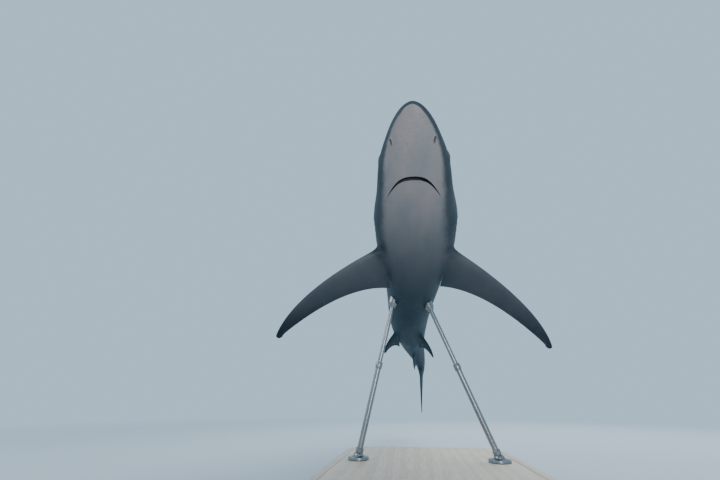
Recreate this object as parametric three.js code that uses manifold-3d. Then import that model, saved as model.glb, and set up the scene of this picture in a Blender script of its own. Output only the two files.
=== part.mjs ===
// A silky shark, life size, climbing and turning a little, held by a plain display stand.
//
// Units are millimetres and +Z is up. The origin is the middle of the stand's underside, and the
// shark heads towards -Y. The shark is modelled in a frame of its own: the snout tip is at the
// origin, +X points forwards, +Y to the shark's left and +Z to its back. Places along the body are
// lengths behind the snout tip, measured along the spine, in hundredths of the total length. The
// tables give their sizes in the same hundredths, and their angles in degrees.

import * as THREE from "three";
import { mergeVertices } from "three/addons/utils/BufferGeometryUtils.js";
import Module from "manifold-3d";

const wasm = await Module();
wasm.setup();

// ---------------------------------------------------------------- driving dimensions

const TOTAL_LENGTH = 2200;
const PC = TOTAL_LENGTH / 100; // one hundredth of the total length
const GAP = 0.3; // clearance between neighbouring pieces
const SIDES = [["left", 1], ["right", -1]];
const deg = THREE.MathUtils.degToRad;

// How the shark is held: its climb, its bank to the left, and the place of its snout tip.
const CLIMB = 22;
const BANK = 5.5;
const SNOUT = new THREE.Vector3(12, -660, 930);

// Cross sections of the body: place, half width, height above the spine, depth below it.
const SECTIONS = [
  { at: 0, half: 0, above: 0, below: 0 }, // snout tip
  { at: 1, half: 1.72, above: 0.88, below: 0.85 },
  { at: 4, half: 3.45, above: 1.95, below: 1.75 }, // nostrils
  { at: 8.5, half: 5.0, above: 3.15, below: 2.75 }, // eyes, front of the mouth
  { at: 12.5, half: 5.6, above: 4.0, below: 3.95 }, // corners of the mouth
  { at: 18, half: 6.55, above: 5.1, below: 5.15 }, // gills
  { at: 24, half: 6.5, above: 6.0, below: 5.85 }, // roots of the pectoral fins
  { at: 32, half: 5.45, above: 6.65, below: 6.1 }, // front of the first dorsal fin
  { at: 40, half: 4.7, above: 6.25, below: 5.95 },
  { at: 49, half: 4.1, above: 4.9, below: 4.9 }, // roots of the pelvic fins
  { at: 57, half: 3.1, above: 3.65, below: 3.6 },
  { at: 65, half: 2.0, above: 2.6, below: 2.35 },
  { at: 72, half: 1.15, above: 1.8, below: 1.65 }, // narrowest part of the tail stalk
  { at: 75, half: 0.85, above: 1.6, below: 2.2 }, // root of the tail fin
  { at: 79, half: 0.6, above: 1.35, below: 3.2 }, // fork of the tail fin
  { at: 83, half: 0.46, above: 1.3, below: 3.75 },
  { at: 88, half: 0.35, above: 1.15, below: 3.2 },
  { at: 92, half: 0.3, above: 1.0, below: 2.35 },
  { at: 93.6, half: 0.27, above: 0.95, below: 1.5 }, // notch under the tip
  { at: 95.4, half: 0.24, above: 0.9, below: 2.35 },
  { at: 98.4, half: 0.17, above: 0.6, below: 1.35 },
  { at: 100, half: 0, above: 0, below: 0 }, // tip of the tail
];

// Fullness of a section above and below the spine: 2 is an ellipse, more is squarer.
const FULLNESS = [
  { at: 0, upper: 2, lower: 2 },
  { at: 6, upper: 2, lower: 2.5 },
  { at: 14, upper: 2.05, lower: 2.35 },
  { at: 30, upper: 1.95, lower: 2.15 },
  { at: 60, upper: 2, lower: 2 },
  { at: 74, upper: 2, lower: 1.7 },
  { at: 80, upper: 1.8, lower: 1.3 },
  { at: 100, upper: 1.8, lower: 1.3 },
];

// The swimming bend: which way the spine runs, sideways to the left and upwards, and how far the
// back is rolled over to the right.
const BEND = [
  { at: 0, left: 0, up: 0, roll: 0 },
  { at: 14, left: 0, up: 0, roll: 0 },
  { at: 25, left: -3, up: 5.2, roll: 3.5 },
  { at: 40, left: -5.8, up: 1.8, roll: -1.2 },
  { at: 55, left: 4.6, up: 4.6, roll: -1 },
  { at: 65, left: 9, up: 3, roll: -5 },
  { at: 72, left: 5, up: 0.6, roll: -2 },
  { at: 78, left: -2, up: 27, roll: -2 }, // the spine turns up into the tail fin
  { at: 100, left: -3, up: 30, roll: -2 },
];

// The pieces the body is parted into, from place to place.
const PIECES = {
  head: [0, 15.5],
  gill_region: [15.5, 26.5],
  trunk_front: [26.5, 38],
  trunk_rear: [38, 50],
  tail_stalk: [50, 73],
  tail_fin_upper_lobe: [73, 100],
};

// ---------------------------------------------------------------- smooth curves through tables

// A smooth curve through the rows of a table that never overshoots them.
function curveThrough(rows, key, shape = (v) => v) {
  const xs = rows.map((row) => row.at);
  const ys = rows.map((row) => shape(row[key]));
  const slope = xs.slice(1).map((x, i) => (ys[i + 1] - ys[i]) / (x - xs[i]));
  const tangent = xs.map((_, i) => {
    if (i === 0) return slope[0];
    if (i === xs.length - 1) return slope[i - 1];
    const [a, b] = [slope[i - 1], slope[i]];
    return a * b > 0 ? (2 * a * b) / (a + b) : 0;
  });
  return (x) => {
    const at = Math.min(Math.max(x, xs[0]), xs[xs.length - 1]);
    const i = Math.max(0, xs.findIndex((edge, k) => k > 0 && at <= edge) - 1);
    const width = xs[i + 1] - xs[i];
    const t = (at - xs[i]) / width;
    const [t2, t3] = [t * t, t * t * t];
    return (
      (2 * t3 - 3 * t2 + 1) * ys[i] + (t3 - 2 * t2 + t) * width * tangent[i] +
      (3 * t2 - 2 * t3) * ys[i + 1] + (t3 - t2) * width * tangent[i + 1]
    );
  };
}

// Sizes are smoothed as squares, which rounds the snout and the tip of the tail.
const squared = (v) => v * v;
const sizeCurve = (key) => {
  const curve = curveThrough(SECTIONS, key, squared);
  return (at) => PC * Math.sqrt(Math.max(curve(at), 0));
};
const halfWidth = sizeCurve("half");
const heightAbove = sizeCurve("above");
const depthBelow = sizeCurve("below");
const upperFullness = curveThrough(FULLNESS, "upper");
const lowerFullness = curveThrough(FULLNESS, "lower");
const bendLeft = curveThrough(BEND, "left");
const bendUp = curveThrough(BEND, "up");
const bendRoll = curveThrough(BEND, "roll");

// ---------------------------------------------------------------- the spine and the body's skin

// The spine as points half a hundredth apart, each with its backward, left and up directions.
const SPINE_STEP = 0.5;
const spine = [];
for (let at = 0, point = new THREE.Vector3(); at <= 100; at += SPINE_STEP) {
  const [left, up] = [deg(bendLeft(at)), deg(bendUp(at))];
  const back = new THREE.Vector3(
    -Math.cos(left) * Math.cos(up), Math.sin(left) * Math.cos(up), Math.sin(up),
  );
  const side = new THREE.Vector3().crossVectors(back, new THREE.Vector3(0, 0, 1)).normalize();
  side.applyAxisAngle(back, -deg(bendRoll(at)));
  spine.push({ point: point.clone(), back, side, up: side.clone().cross(back) });
  point.addScaledVector(back, SPINE_STEP * PC);
}

function spineAt(at) {
  const place = Math.min(Math.max(at / SPINE_STEP, 0), spine.length - 1.001);
  const [a, b] = [spine[Math.floor(place)], spine[Math.floor(place) + 1]];
  const share = place - Math.floor(place);
  const mix = (key) => a[key].clone().lerp(b[key], share);
  return { point: mix("point"), back: mix("back"), side: mix("side"), up: mix("up") };
}

// The same height on the shark's left (side 1) or right (side -1).
const riseOn = (side, rise) => (side > 0 ? rise : 180 - rise);

// A point of the skin: rise is 0 on the left flank, 90 on the back, 180 on the right flank and
// -90 on the belly.
function skinPoint(at, rise, grow = 0) {
  const [c, s] = [Math.cos(deg(rise)), Math.sin(deg(rise))];
  const power = 2 / (s > 0 ? upperFullness(at) : lowerFullness(at));
  const across = (halfWidth(at) + grow) * Math.sign(c) * Math.abs(c) ** power;
  const tall = (s > 0 ? heightAbove(at) : depthBelow(at)) + grow;
  const along = spineAt(at);
  return along.point.clone()
    .addScaledVector(along.side, across)
    .addScaledVector(along.up, tall * Math.sign(s) * Math.abs(s) ** power);
}

// ---------------------------------------------------------------- solids from rings of points

function geometryFrom(points, triangles) {
  const flat = points.flatMap((p) => [p.x, p.y, p.z]);
  return new THREE.BufferGeometry()
    .setAttribute("position", new THREE.Float32BufferAttribute(flat, 3))
    .setIndex(triangles);
}

// A closed solid over rings of equally many points; each end is closed with a fan.
function loft(rings) {
  const count = rings[0].length;
  const points = rings.flat();
  const triangles = [];
  const corner = (ring, i) => ring * count + (i % count);
  for (let ring = 0; ring + 1 < rings.length; ring++) {
    for (let i = 0; i < count; i++) {
      const [a, b] = [corner(ring, i), corner(ring, i + 1)];
      const [c, d] = [corner(ring + 1, i), corner(ring + 1, i + 1)];
      triangles.push(a, b, c, b, d, c);
    }
  }
  const middle = (ring) =>
    ring.reduce((sum, p) => sum.add(p), new THREE.Vector3()).divideScalar(count);
  const last = rings.length - 1;
  points.push(middle(rings[0]), middle(rings[last]));
  for (let i = 0; i < count; i++) {
    triangles.push(points.length - 2, corner(0, i + 1), corner(0, i));
    triangles.push(points.length - 1, corner(last, i), corner(last, i + 1));
  }
  return geometryFrom(points, triangles);
}

// A solid from a closed surface, whichever way round its triangles run.
function solidOf(geometry) {
  const bare = geometry.clone();
  bare.deleteAttribute("normal");
  bare.deleteAttribute("uv");
  const merged = mergeVertices(bare, 1e-3);
  const build = (triVerts) => new wasm.Manifold(new wasm.Mesh({
    numProp: 3, vertProperties: merged.attributes.position.array, triVerts,
  }));
  const corners = new Uint32Array(merged.index.array);
  const solid = build(corners);
  return solid.volume() > 0 ? solid : build(corners.slice().reverse());
}

function geometryOf(solid) {
  const made = solid.getMesh();
  const place = new Float32Array(made.numVert * 3);
  for (let i = 0; i < made.numVert; i++) {
    place.set(made.vertProperties.subarray(i * made.numProp, i * made.numProp + 3), i * 3);
  }
  return new THREE.BufferGeometry()
    .setAttribute("position", new THREE.BufferAttribute(place, 3))
    .setIndex(new THREE.BufferAttribute(made.triVerts, 1));
}

// ---------------------------------------------------------------- the body

const AROUND = 32;
const NOSE_RINGS = [0.05, 0.35, 0.9, 1.8]; // close together where the snout is round
const RING_STEP = 2;
const TAIL_TIP_RINGS = [98.4, 99.4, 99.95];

function ring(at, grow) {
  return Array.from({ length: AROUND }, (_, i) =>
    skinPoint(at, (360 * (i + 0.5)) / AROUND, grow));
}

// The length of body between two places, as a solid, with half a gap left at either end.
function bodyLength([from, to], grow = 0) {
  const inset = (GAP / 2 - grow) / PC;
  const start = from === 0 ? NOSE_RINGS : [from + inset];
  const end = to === 100 ? TAIL_TIP_RINGS : [to - inset];
  const first = start[start.length - 1];
  const steps = Math.max(1, Math.round((end[0] - first) / RING_STEP));
  const between = Array.from({ length: steps - 1 },
    (_, i) => first + ((i + 1) * (end[0] - first)) / steps);
  return solidOf(loft([...start, ...between, ...end].map((at) => ring(at, grow))));
}

const bodyWithGap = Object.values(PIECES)
  .map((piece) => bodyLength(piece, GAP))
  .reduce((whole, piece) => whole.add(piece));

// ---------------------------------------------------------------- the mouth

const MOUTH_FRONT = 8.9; // edge of the upper jaw under the snout
const MOUTH_CORNER = { at: 12.1, side: 3.75 };
const JAW_SET_BACK = 0.5; // how far the lower jaw's rim lies behind the upper one: the open gap
const JAW_END = 15.2;
const JAW_TOP = -1.45; // height of the jaw's upper face against the spine
const MOUTH_ROOF = -1.1;
const MOUTH_STEPS = 12;
const MOUTH_ROUNDNESS = 2.3; // 2 is a parabola, more is squarer in front

// A block under the head whose front follows the curve of the mouth.
function mouthBlock(front, sideways, end, top) {
  const reach = MOUTH_CORNER.side + sideways;
  const corners = Array.from({ length: MOUTH_STEPS + 1 }, (_, i) => {
    const side = (2 * i) / MOUTH_STEPS - 1;
    const at = front + (MOUTH_CORNER.at - front) * Math.abs(side) ** MOUTH_ROUNDNESS;
    return new THREE.Vector2(-at, side * reach);
  });
  corners.push(new THREE.Vector2(-end, reach), new THREE.Vector2(-end, -reach));
  const outline = new THREE.Shape(corners.map((corner) => corner.multiplyScalar(PC)));
  const depth = 2 * heightAbove(JAW_END) + depthBelow(JAW_END);
  const block = new THREE.ExtrudeGeometry(outline, { depth, bevelEnabled: false });
  block.translate(0, 0, top * PC - depth);
  return solidOf(block);
}

function makeHead() {
  const whole = bodyLength(PIECES.head);
  const opening = mouthBlock(MOUTH_FRONT, GAP / PC, JAW_END + GAP / PC, MOUTH_ROOF);
  const rim = mouthBlock(MOUTH_FRONT + JAW_SET_BACK, 0, JAW_END, JAW_TOP);
  return { head: whole.subtract(opening), lowerJaw: whole.intersect(rim) };
}

// ---------------------------------------------------------------- the eyes

const EYE = { at: 8.1, rise: 10, radius: 1.3, showing: 0.2 };

function eyeBall(side, radius) {
  const { side: left, up } = spineAt(EYE.at);
  const outwards = left.clone().multiplyScalar(side)
    .addScaledVector(up, Math.tan(deg(EYE.rise))).normalize();
  const centre = skinPoint(EYE.at, riseOn(side, EYE.rise))
    .addScaledVector(outwards, (EYE.showing - EYE.radius) * PC);
  const ball = new THREE.SphereGeometry(radius * PC, 14, 8);
  return solidOf(ball.translate(centre.x, centre.y, centre.z));
}

// ---------------------------------------------------------------- the gill slits

// Each slit's place and the rise of its lower end: the last two open over the fin's root.
const GILL_SLITS = [
  { at: 18.2, bottom: -27 },
  { at: 19.4, bottom: -28 },
  { at: 20.6, bottom: -27 },
  { at: 21.8, bottom: -21 },
  { at: 22.9, bottom: -18 },
];
const GILL = { top: 13, lean: 0.9, bow: 0.4, half: 1.25, depth: 14, outside: 8, steps: 4 };

// One thin blade, leaning back at the top and bowed forwards, that cuts a slit into the flank.
function gillBlade({ at, bottom }, side) {
  const rings = [];
  for (let i = 0; i <= GILL.steps; i++) {
    const share = i / GILL.steps;
    const fullness = Math.sin(Math.PI * share);
    const taper = 0.25 + 0.75 * fullness;
    const rise = riseOn(side, bottom + share * (GILL.top - bottom));
    const place = at + GILL.lean * (share - 0.5) - GILL.bow * fullness;
    const half = (GILL.half * taper) / PC;
    rings.push([
      skinPoint(place - half, rise, GILL.outside), skinPoint(place + half, rise, GILL.outside),
      skinPoint(place + half, rise, -GILL.depth * taper),
      skinPoint(place - half, rise, -GILL.depth * taper),
    ]);
  }
  return solidOf(loft(rings));
}

function makeGillRegion() {
  const blades = GILL_SLITS.flatMap((slit) => SIDES.map(([, side]) => gillBlade(slit, side)));
  return blades.reduce((flesh, blade) => flesh.subtract(blade), bodyLength(PIECES.gill_region));
}

// ---------------------------------------------------------------- the fins

// A fin lies flat in its own plane: x runs backwards along its root and h outwards. The front edge
// runs from the start of the root to the tip, bent towards lead. The rear edge runs from the free
// corner at rear to the tip, bent towards trail.
const FINS = {
  firstDorsal: {
    root: 9.4, tip: [10.3, 8.2], tipChord: 0.75, tipLean: -38, lead: [4.2, 6.6],
    trail: [8.6, 3.2], rear: [13.4, 0.75], thick: 1.15, stations: 9,
  },
  secondDorsal: {
    root: 3.0, tip: [3.1, 1.95], tipChord: 0.4, tipLean: -45, lead: [1.2, 1.7],
    trail: [3.6, 0.75], rear: [8.0, 0.5], thick: 0.5, stations: 6,
  },
  anal: {
    root: 4.0, tip: [4.0, 2.4], tipChord: 0.4, tipLean: -45, lead: [1.6, 2.3],
    trail: [4.1, 0.9], rear: [7.7, 0.55], thick: 0.5, stations: 6,
  },
  pelvic: {
    root: 4.2, tip: [4.9, 4.05], tipChord: 0.6, tipLean: -40, lead: [2.0, 3.4],
    trail: [3.1, 1.1], rear: [6.7, 0.55], thick: 0.7, stations: 6,
  },
  pectoral: {
    root: 5.9, tip: [11.5, 21.1], tipChord: 1.15, tipLean: -80, lead: [4.3, 16.3],
    trail: [5.5, 6.9], rear: [9.7, 0.6], thick: 1.55, stations: 9,
  },
  lowerTail: {
    root: 6.6, tip: [8.1, 8.5], tipChord: 0.6, tipLean: -45, lead: [2.5, 4.2],
    trail: [6.5, 3.6], rear: [7.6, 0.6], thick: 0.75, stations: 8,
  },
};
const INNER_SHARE = 0.16; // share of the stations that lie along the free inner edge
const CHORD_SHARES = [0, 0.05, 0.18, 0.42, 0.72, 1];
const EDGE_THICKNESS = 0.05;
const TIP_THINNING = 0.8; // how much of its thickness a fin loses towards the tip
const FOIL_PEAK = 0.28; // brings the thickest part of the profile to 1
const TIP_ARC = [40, 78]; // angles of the chords that round the tip off
const ROOT_SINK = 1.6; // how far a fin runs on into the body before it is cut off there

const bezier = (a, b, c) => new THREE.QuadraticBezierCurve(
  new THREE.Vector2(...a), new THREE.Vector2(...b), new THREE.Vector2(...c));

// Front and rear ends of the fin's chord at each station from root to tip.
function finChords(fin) {
  const lean = new THREE.Vector2(1, 0).rotateAround(new THREE.Vector2(), deg(fin.tipLean));
  const tip = new THREE.Vector2(...fin.tip);
  const half = fin.tipChord / 2;
  const front = bezier([0, 0], fin.lead, tip.clone().addScaledVector(lean, -half).toArray());
  const rear = bezier(fin.rear, fin.trail, tip.clone().addScaledVector(lean, half).toArray());
  const free = fin.rear[0] - fin.root;
  const inner = bezier([fin.root, 0], [fin.root + 0.3 * free, 0.35 * fin.rear[1]], fin.rear);
  const chords = [];
  for (let i = 0; i <= fin.stations; i++) {
    const u = i / fin.stations;
    const behind = u < INNER_SHARE
      ? inner.getPoint(u / INNER_SHARE)
      : rear.getPoint((u - INNER_SHARE) / (1 - INNER_SHARE));
    chords.push({ front: front.getPoint(u), rear: behind, u });
  }
  const onwards = new THREE.Vector2(-lean.y, lean.x);
  for (const angle of TIP_ARC.map(deg)) {
    const middle = tip.clone().addScaledVector(onwards, half * Math.sin(angle));
    const reach = half * Math.cos(angle);
    chords.push({
      front: middle.clone().addScaledVector(lean, -reach),
      rear: middle.clone().addScaledVector(lean, reach), u: 1,
    });
  }
  return chords;
}

// Half the fin's thickness: round in front, thickest a third of the way back, thin behind.
function finHalfThickness(fin, u, share) {
  const foil = (Math.sqrt(share) * (1 - share)) / (1 + 1.35 * share) / FOIL_PEAK;
  return (fin.thick / 2) * (1 - TIP_THINNING * u) * foil + EDGE_THICKNESS / 2;
}

// A fin as a solid; place(x, h, t) puts a point of its plane, t off that plane, on the shark.
function finSolid(fin, place) {
  const chords = finChords(fin);
  const root = chords[0];
  const sunk = {
    front: root.front.clone().setY(-ROOT_SINK), rear: root.rear.clone().setY(-ROOT_SINK), u: 0,
  };
  const rings = [sunk, ...chords].map(({ front, rear, u }) => {
    const at = (share, face) => {
      const p = front.clone().lerp(rear, share);
      return place(p.x, p.y, face * finHalfThickness(fin, u, share));
    };
    const upper = CHORD_SHARES.map((share) => at(share, 1));
    const lower = [...CHORD_SHARES].reverse().map((share) => at(share, -1));
    return [...upper, ...lower];
  });
  return solidOf(loft(rings)).subtract(bodyWithGap);
}

// On the middle line of the back (face 1) or the belly (face -1), following the spine.
function middlePlace(start, face) {
  return (x, h, t) => {
    const along = spineAt(start + x);
    const edge = face > 0 ? heightAbove(start + x) : depthBelow(start + x);
    return along.point.addScaledVector(along.up, face * (edge + h * PC))
      .addScaledVector(along.side, t * PC);
  };
}

// On a flank, with the root along the skin; the fin droops and curls downwards as it goes out.
function flankPlace(fin, side, { at, root, ...held }) {
  const [droop, curl, sweep, pitch] = [held.droop, held.curl, held.sweep, held.pitch].map(deg);
  const onSkin = (place, rise) => skinPoint(place, riseOn(side, rise));
  const origin = onSkin(at, root[0]);
  const along = onSkin(at + fin.root, root[1]).sub(origin).normalize();
  const { side: left, up } = spineAt(at + fin.root / 2);
  const out = left.clone().multiplyScalar(side);
  out.addScaledVector(along, -out.dot(along)).normalize();
  const down = new THREE.Vector3().crossVectors(out, along);
  if (down.dot(up) > 0) down.negate();
  return (x, h, t) => {
    const reach = Math.max(h, 0);
    const turn = (curl * reach) / fin.tip[1];
    const middle = droop + turn / 2; // a shallow arc goes the way of its chord
    const bow = turn > 0 ? Math.sin(turn / 2) / (turn / 2) : 1;
    const swept = x + Math.tan(sweep) * reach;
    return origin.clone().addScaledVector(along, swept * PC)
      .addScaledVector(out, (h * bow * Math.cos(middle) + t * Math.sin(droop + turn)) * PC)
      .addScaledVector(down, (h * bow * Math.sin(middle) - t * Math.cos(droop + turn)) * PC)
      .addScaledVector(down, -Math.sin(pitch) * (x - fin.root / 2) * PC);
  };
}

// In one flat upright plane under the root of the tail fin.
function underTailPlace(start) {
  const { point, back, side, up } = spineAt(start);
  const root = point.clone().addScaledVector(up, -0.6 * depthBelow(start));
  return (x, h, t) => root.clone().addScaledVector(back, x * PC)
    .addScaledVector(up, -h * PC).addScaledVector(side, t * PC);
}

// Where the paired fins leave the body, the rise of the root's front and rear, and how each fin is
// held.
const PECTORAL = {
  left: { at: 21.8, root: [-28, -45], droop: 14, curl: 8.5, sweep: 5, pitch: 12.5 },
  right: { at: 21.8, root: [-28, -45], droop: 27.5, curl: 8, sweep: -13, pitch: 7 },
};
const PELVIC = {
  left: { at: 48.8, root: [-46, -54], droop: 34, curl: 6, sweep: 0, pitch: 0 },
  right: { at: 48.8, root: [-46, -54], droop: 32, curl: 6, sweep: 0, pitch: 0 },
};
const FIRST_DORSAL_AT = 31.4;
const SECOND_DORSAL_AT = 62.4;
const ANAL_AT = 60.7;
const LOWER_TAIL_AT = 71.6;

// ---------------------------------------------------------------- materials

const finish = (color, roughness, metalness = 0) =>
  new THREE.MeshStandardMaterial({ color, roughness, metalness });
const skinFinish = finish(0x7f8387, 0.5);
const eyeFinish = finish(0x1a1c1d, 0.15);
const steelFinish = finish(0x9a9da0, 0.35, 0.9);
const baseFinish = finish(0xb3aa9c, 0.5);

// ---------------------------------------------------------------- putting the shark together

const shark = new THREE.Group();
shark.rotation.set(deg(-BANK), deg(-CLIMB), -Math.PI / 2, "ZYX");
shark.position.copy(SNOUT);
shark.updateMatrixWorld(true);

function addTo(group, name, solid, material) {
  const mesh = new THREE.Mesh(geometryOf(solid), material);
  mesh.name = name;
  group.add(mesh);
}

const sockets = eyeBall(1, EYE.radius + GAP / PC).add(eyeBall(-1, EYE.radius + GAP / PC));
const { head, lowerJaw } = makeHead();
addTo(shark, "head", head.subtract(sockets), skinFinish);
addTo(shark, "lower_jaw", lowerJaw, skinFinish);
addTo(shark, "gill_region", makeGillRegion(), skinFinish);
for (const name of ["trunk_front", "trunk_rear", "tail_stalk", "tail_fin_upper_lobe"]) {
  addTo(shark, name, bodyLength(PIECES[name]), skinFinish);
}
addTo(shark, "tail_fin_lower_lobe",
  finSolid(FINS.lowerTail, underTailPlace(LOWER_TAIL_AT)), skinFinish);
addTo(shark, "first_dorsal_fin",
  finSolid(FINS.firstDorsal, middlePlace(FIRST_DORSAL_AT, 1)), skinFinish);
addTo(shark, "second_dorsal_fin",
  finSolid(FINS.secondDorsal, middlePlace(SECOND_DORSAL_AT, 1)), skinFinish);
addTo(shark, "anal_fin", finSolid(FINS.anal, middlePlace(ANAL_AT, -1)), skinFinish);
for (const [word, side] of SIDES) {
  addTo(shark, "eye_" + word, eyeBall(side, EYE.radius), eyeFinish);
  addTo(shark, "pectoral_fin_" + word,
    finSolid(FINS.pectoral, flankPlace(FINS.pectoral, side, PECTORAL[word])), skinFinish);
  addTo(shark, "pelvic_fin_" + word,
    finSolid(FINS.pelvic, flankPlace(FINS.pelvic, side, PELVIC[word])), skinFinish);
}

// ---------------------------------------------------------------- the stand

const BASE = { width: 640, depth: 820, thick: 22, corner: 120, chamfer: 3 };
const ROD = { radius: 10, foot: 235, meets: 35.5, rise: -52, sides: 20 };
const CUP = { radius: 19, length: 26 }; // the fitting that joins a rod to the body
const FOOT = { radius: 36, height: 12, sides: 32 };

function makeBase() {
  const [w, d, r] = [BASE.width / 2, BASE.depth / 2, BASE.corner];
  const outline = new THREE.Shape();
  outline.absarc(w - r, d - r, r - BASE.chamfer, 0, Math.PI / 2);
  outline.absarc(r - w, d - r, r - BASE.chamfer, Math.PI / 2, Math.PI);
  outline.absarc(r - w, r - d, r - BASE.chamfer, Math.PI, 1.5 * Math.PI);
  outline.absarc(w - r, r - d, r - BASE.chamfer, 1.5 * Math.PI, 2 * Math.PI);
  const plate = new THREE.ExtrudeGeometry(outline, {
    depth: BASE.thick - 2 * BASE.chamfer, curveSegments: 6, bevelEnabled: true,
    bevelSize: BASE.chamfer, bevelThickness: BASE.chamfer, bevelSegments: 1,
  });
  plate.translate(0, 0, BASE.chamfer);
  return solidOf(plate);
}

// A cylinder that runs from one point towards another, for a length.
function barFrom(start, towards, radius, length, sides) {
  const bar = new THREE.CylinderGeometry(radius, radius, length, sides);
  const way = towards.clone().sub(start).normalize();
  bar.translate(0, length / 2, 0);
  bar.applyQuaternion(new THREE.Quaternion().setFromUnitVectors(new THREE.Vector3(0, 1, 0), way));
  return solidOf(bar.translate(start.x, start.y, start.z));
}

// One leg of the stand: a foot on the base, a rod leaning in, and a cup against the lower flank.
function makeLeg(side, bodyInPlace) {
  const meets = skinPoint(ROD.meets, riseOn(side, ROD.rise)).applyMatrix4(shark.matrixWorld);
  const footTop = BASE.thick + GAP + FOOT.height;
  const start = new THREE.Vector3(side * ROD.foot, meets.y, footTop + GAP);
  const whole = meets.distanceTo(start);
  const onTheWay = (length) => start.clone().lerp(meets, length / whole);
  const below = new THREE.BoxGeometry(4 * FOOT.radius, 4 * FOOT.radius, 4 * CUP.length)
    .translate(start.x, start.y, start.z - 2 * CUP.length);
  const foot = new THREE.CylinderGeometry(FOOT.radius, FOOT.radius, FOOT.height, FOOT.sides)
    .rotateX(Math.PI / 2).translate(start.x, start.y, footTop - FOOT.height / 2);
  return {
    foot: solidOf(foot),
    rod: barFrom(onTheWay(-CUP.length), meets, ROD.radius, whole, ROD.sides)
      .subtract(solidOf(below)),
    cup: barFrom(onTheWay(whole - CUP.length + GAP), meets, CUP.radius, 3 * CUP.length, ROD.sides)
      .subtract(bodyInPlace),
  };
}

const stand = new THREE.Group();
const bodyInPlace = solidOf(geometryOf(bodyWithGap).applyMatrix4(shark.matrixWorld));
addTo(stand, "stand_base", makeBase(), baseFinish);
for (const [word, side] of SIDES) {
  const { foot, rod, cup } = makeLeg(side, bodyInPlace);
  addTo(stand, "stand_foot_" + word, foot, steelFinish);
  addTo(stand, "stand_rod_" + word, rod, steelFinish);
  addTo(stand, "stand_cup_" + word, cup, steelFinish);
}

const part = new THREE.Group();
part.add(shark, stand);

export default part;
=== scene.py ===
# %% [markdown]
# # A silky shark, life size, on a display stand
#
# The real thing is a museum model: one seamless skin over a carved body, glass eyes, and a plain
# stand with two steel rods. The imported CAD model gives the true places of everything. It is loaded
# first and stays fixed, and each piece made here is built around it in the same frame, in metres.

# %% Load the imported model
import math

import bmesh
import bpy
import numpy as np
from mathutils import Matrix, Vector


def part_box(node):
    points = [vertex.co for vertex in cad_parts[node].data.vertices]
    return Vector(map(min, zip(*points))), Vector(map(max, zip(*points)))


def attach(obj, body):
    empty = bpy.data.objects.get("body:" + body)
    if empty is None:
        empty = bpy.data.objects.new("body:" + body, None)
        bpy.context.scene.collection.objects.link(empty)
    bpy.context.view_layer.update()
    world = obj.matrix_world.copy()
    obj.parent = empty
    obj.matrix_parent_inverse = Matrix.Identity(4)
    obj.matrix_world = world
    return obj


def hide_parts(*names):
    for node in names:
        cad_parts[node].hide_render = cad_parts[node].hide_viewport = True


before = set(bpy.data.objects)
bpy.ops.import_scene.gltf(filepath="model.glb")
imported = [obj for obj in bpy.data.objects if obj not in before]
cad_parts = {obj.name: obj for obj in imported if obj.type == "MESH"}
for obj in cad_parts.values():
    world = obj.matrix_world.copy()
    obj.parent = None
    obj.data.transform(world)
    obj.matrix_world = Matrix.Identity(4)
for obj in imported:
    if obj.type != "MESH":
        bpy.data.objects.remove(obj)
bpy.context.view_layer.update()

# %% [markdown]
# ## The camera
#
# A diver's view: the lens is wide and close, low over the floor, and looks up under the snout. A
# wide lens makes the near head and fins large and lets the tail shrink away. The camera is made
# first, so every later piece can be looked at from the right place.

# %% Set up the camera
CAMERA_PLACE = Vector((-0.0385, -1.2913, 0.2035))
CAMERA_RISE = 26.4  # degrees above the horizon
CAMERA_TURN = 8.2  # degrees to the left of straight ahead
LENS = 16.21  # millimetres, on a sensor 36 wide


def add_camera():
    """A camera that looks up at the shark from under its snout."""
    data = bpy.data.cameras.new("underwater_view")
    data.lens = LENS
    data.sensor_width = 36
    camera = bpy.data.objects.new("underwater_view", data)
    bpy.context.scene.collection.objects.link(camera)
    camera.location = CAMERA_PLACE
    camera.rotation_euler = (math.radians(90 + CAMERA_RISE), 0, math.radians(CAMERA_TURN))
    bpy.context.scene.camera = camera
    return camera


camera = add_camera()
print("the camera stands", round(camera.location.z, 3), "m above the floor")

# %% [markdown]
# ## The body in numbers
#
# A sculptor of museum fish starts from cross sections: at each place along the spine, how wide the
# body is, how far it rises above the spine and how far it hangs below. Between the places the
# sizes follow smooth curves. All places and sizes here are hundredths of the shark's length, which
# keeps the proportions readable. These are the same sections that the solid model was built from,
# so the skin fits it.

# %% Sections, fullness and bend of the body
TOTAL_LENGTH = 2.2
PC = TOTAL_LENGTH / 100  # one hundredth of the length, in metres

# Place, half width, height above the spine, depth below it.
SECTIONS = [
    (0, 0, 0, 0),
    (1, 1.72, 0.88, 0.85),
    (4, 3.45, 1.95, 1.75),
    (8.5, 5.0, 3.15, 2.75),
    (12.5, 5.6, 4.0, 3.95),
    (18, 6.55, 5.1, 5.15),
    (24, 6.5, 6.0, 5.85),
    (32, 5.45, 6.65, 6.1),
    (40, 4.7, 6.25, 5.95),
    (49, 4.1, 4.9, 4.9),
    (57, 3.1, 3.65, 3.6),
    (65, 2.0, 2.6, 2.35),
    (72, 1.15, 1.8, 1.65),
    (75, 0.85, 1.6, 2.2),
    (79, 0.6, 1.35, 3.2),
    (83, 0.46, 1.3, 3.75),
    (88, 0.35, 1.15, 3.2),
    (92, 0.3, 1.0, 2.35),
    (93.6, 0.27, 0.95, 1.5),
    (95.4, 0.24, 0.9, 2.35),
    (98.4, 0.17, 0.6, 1.35),
    (100, 0, 0, 0),
]

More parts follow.
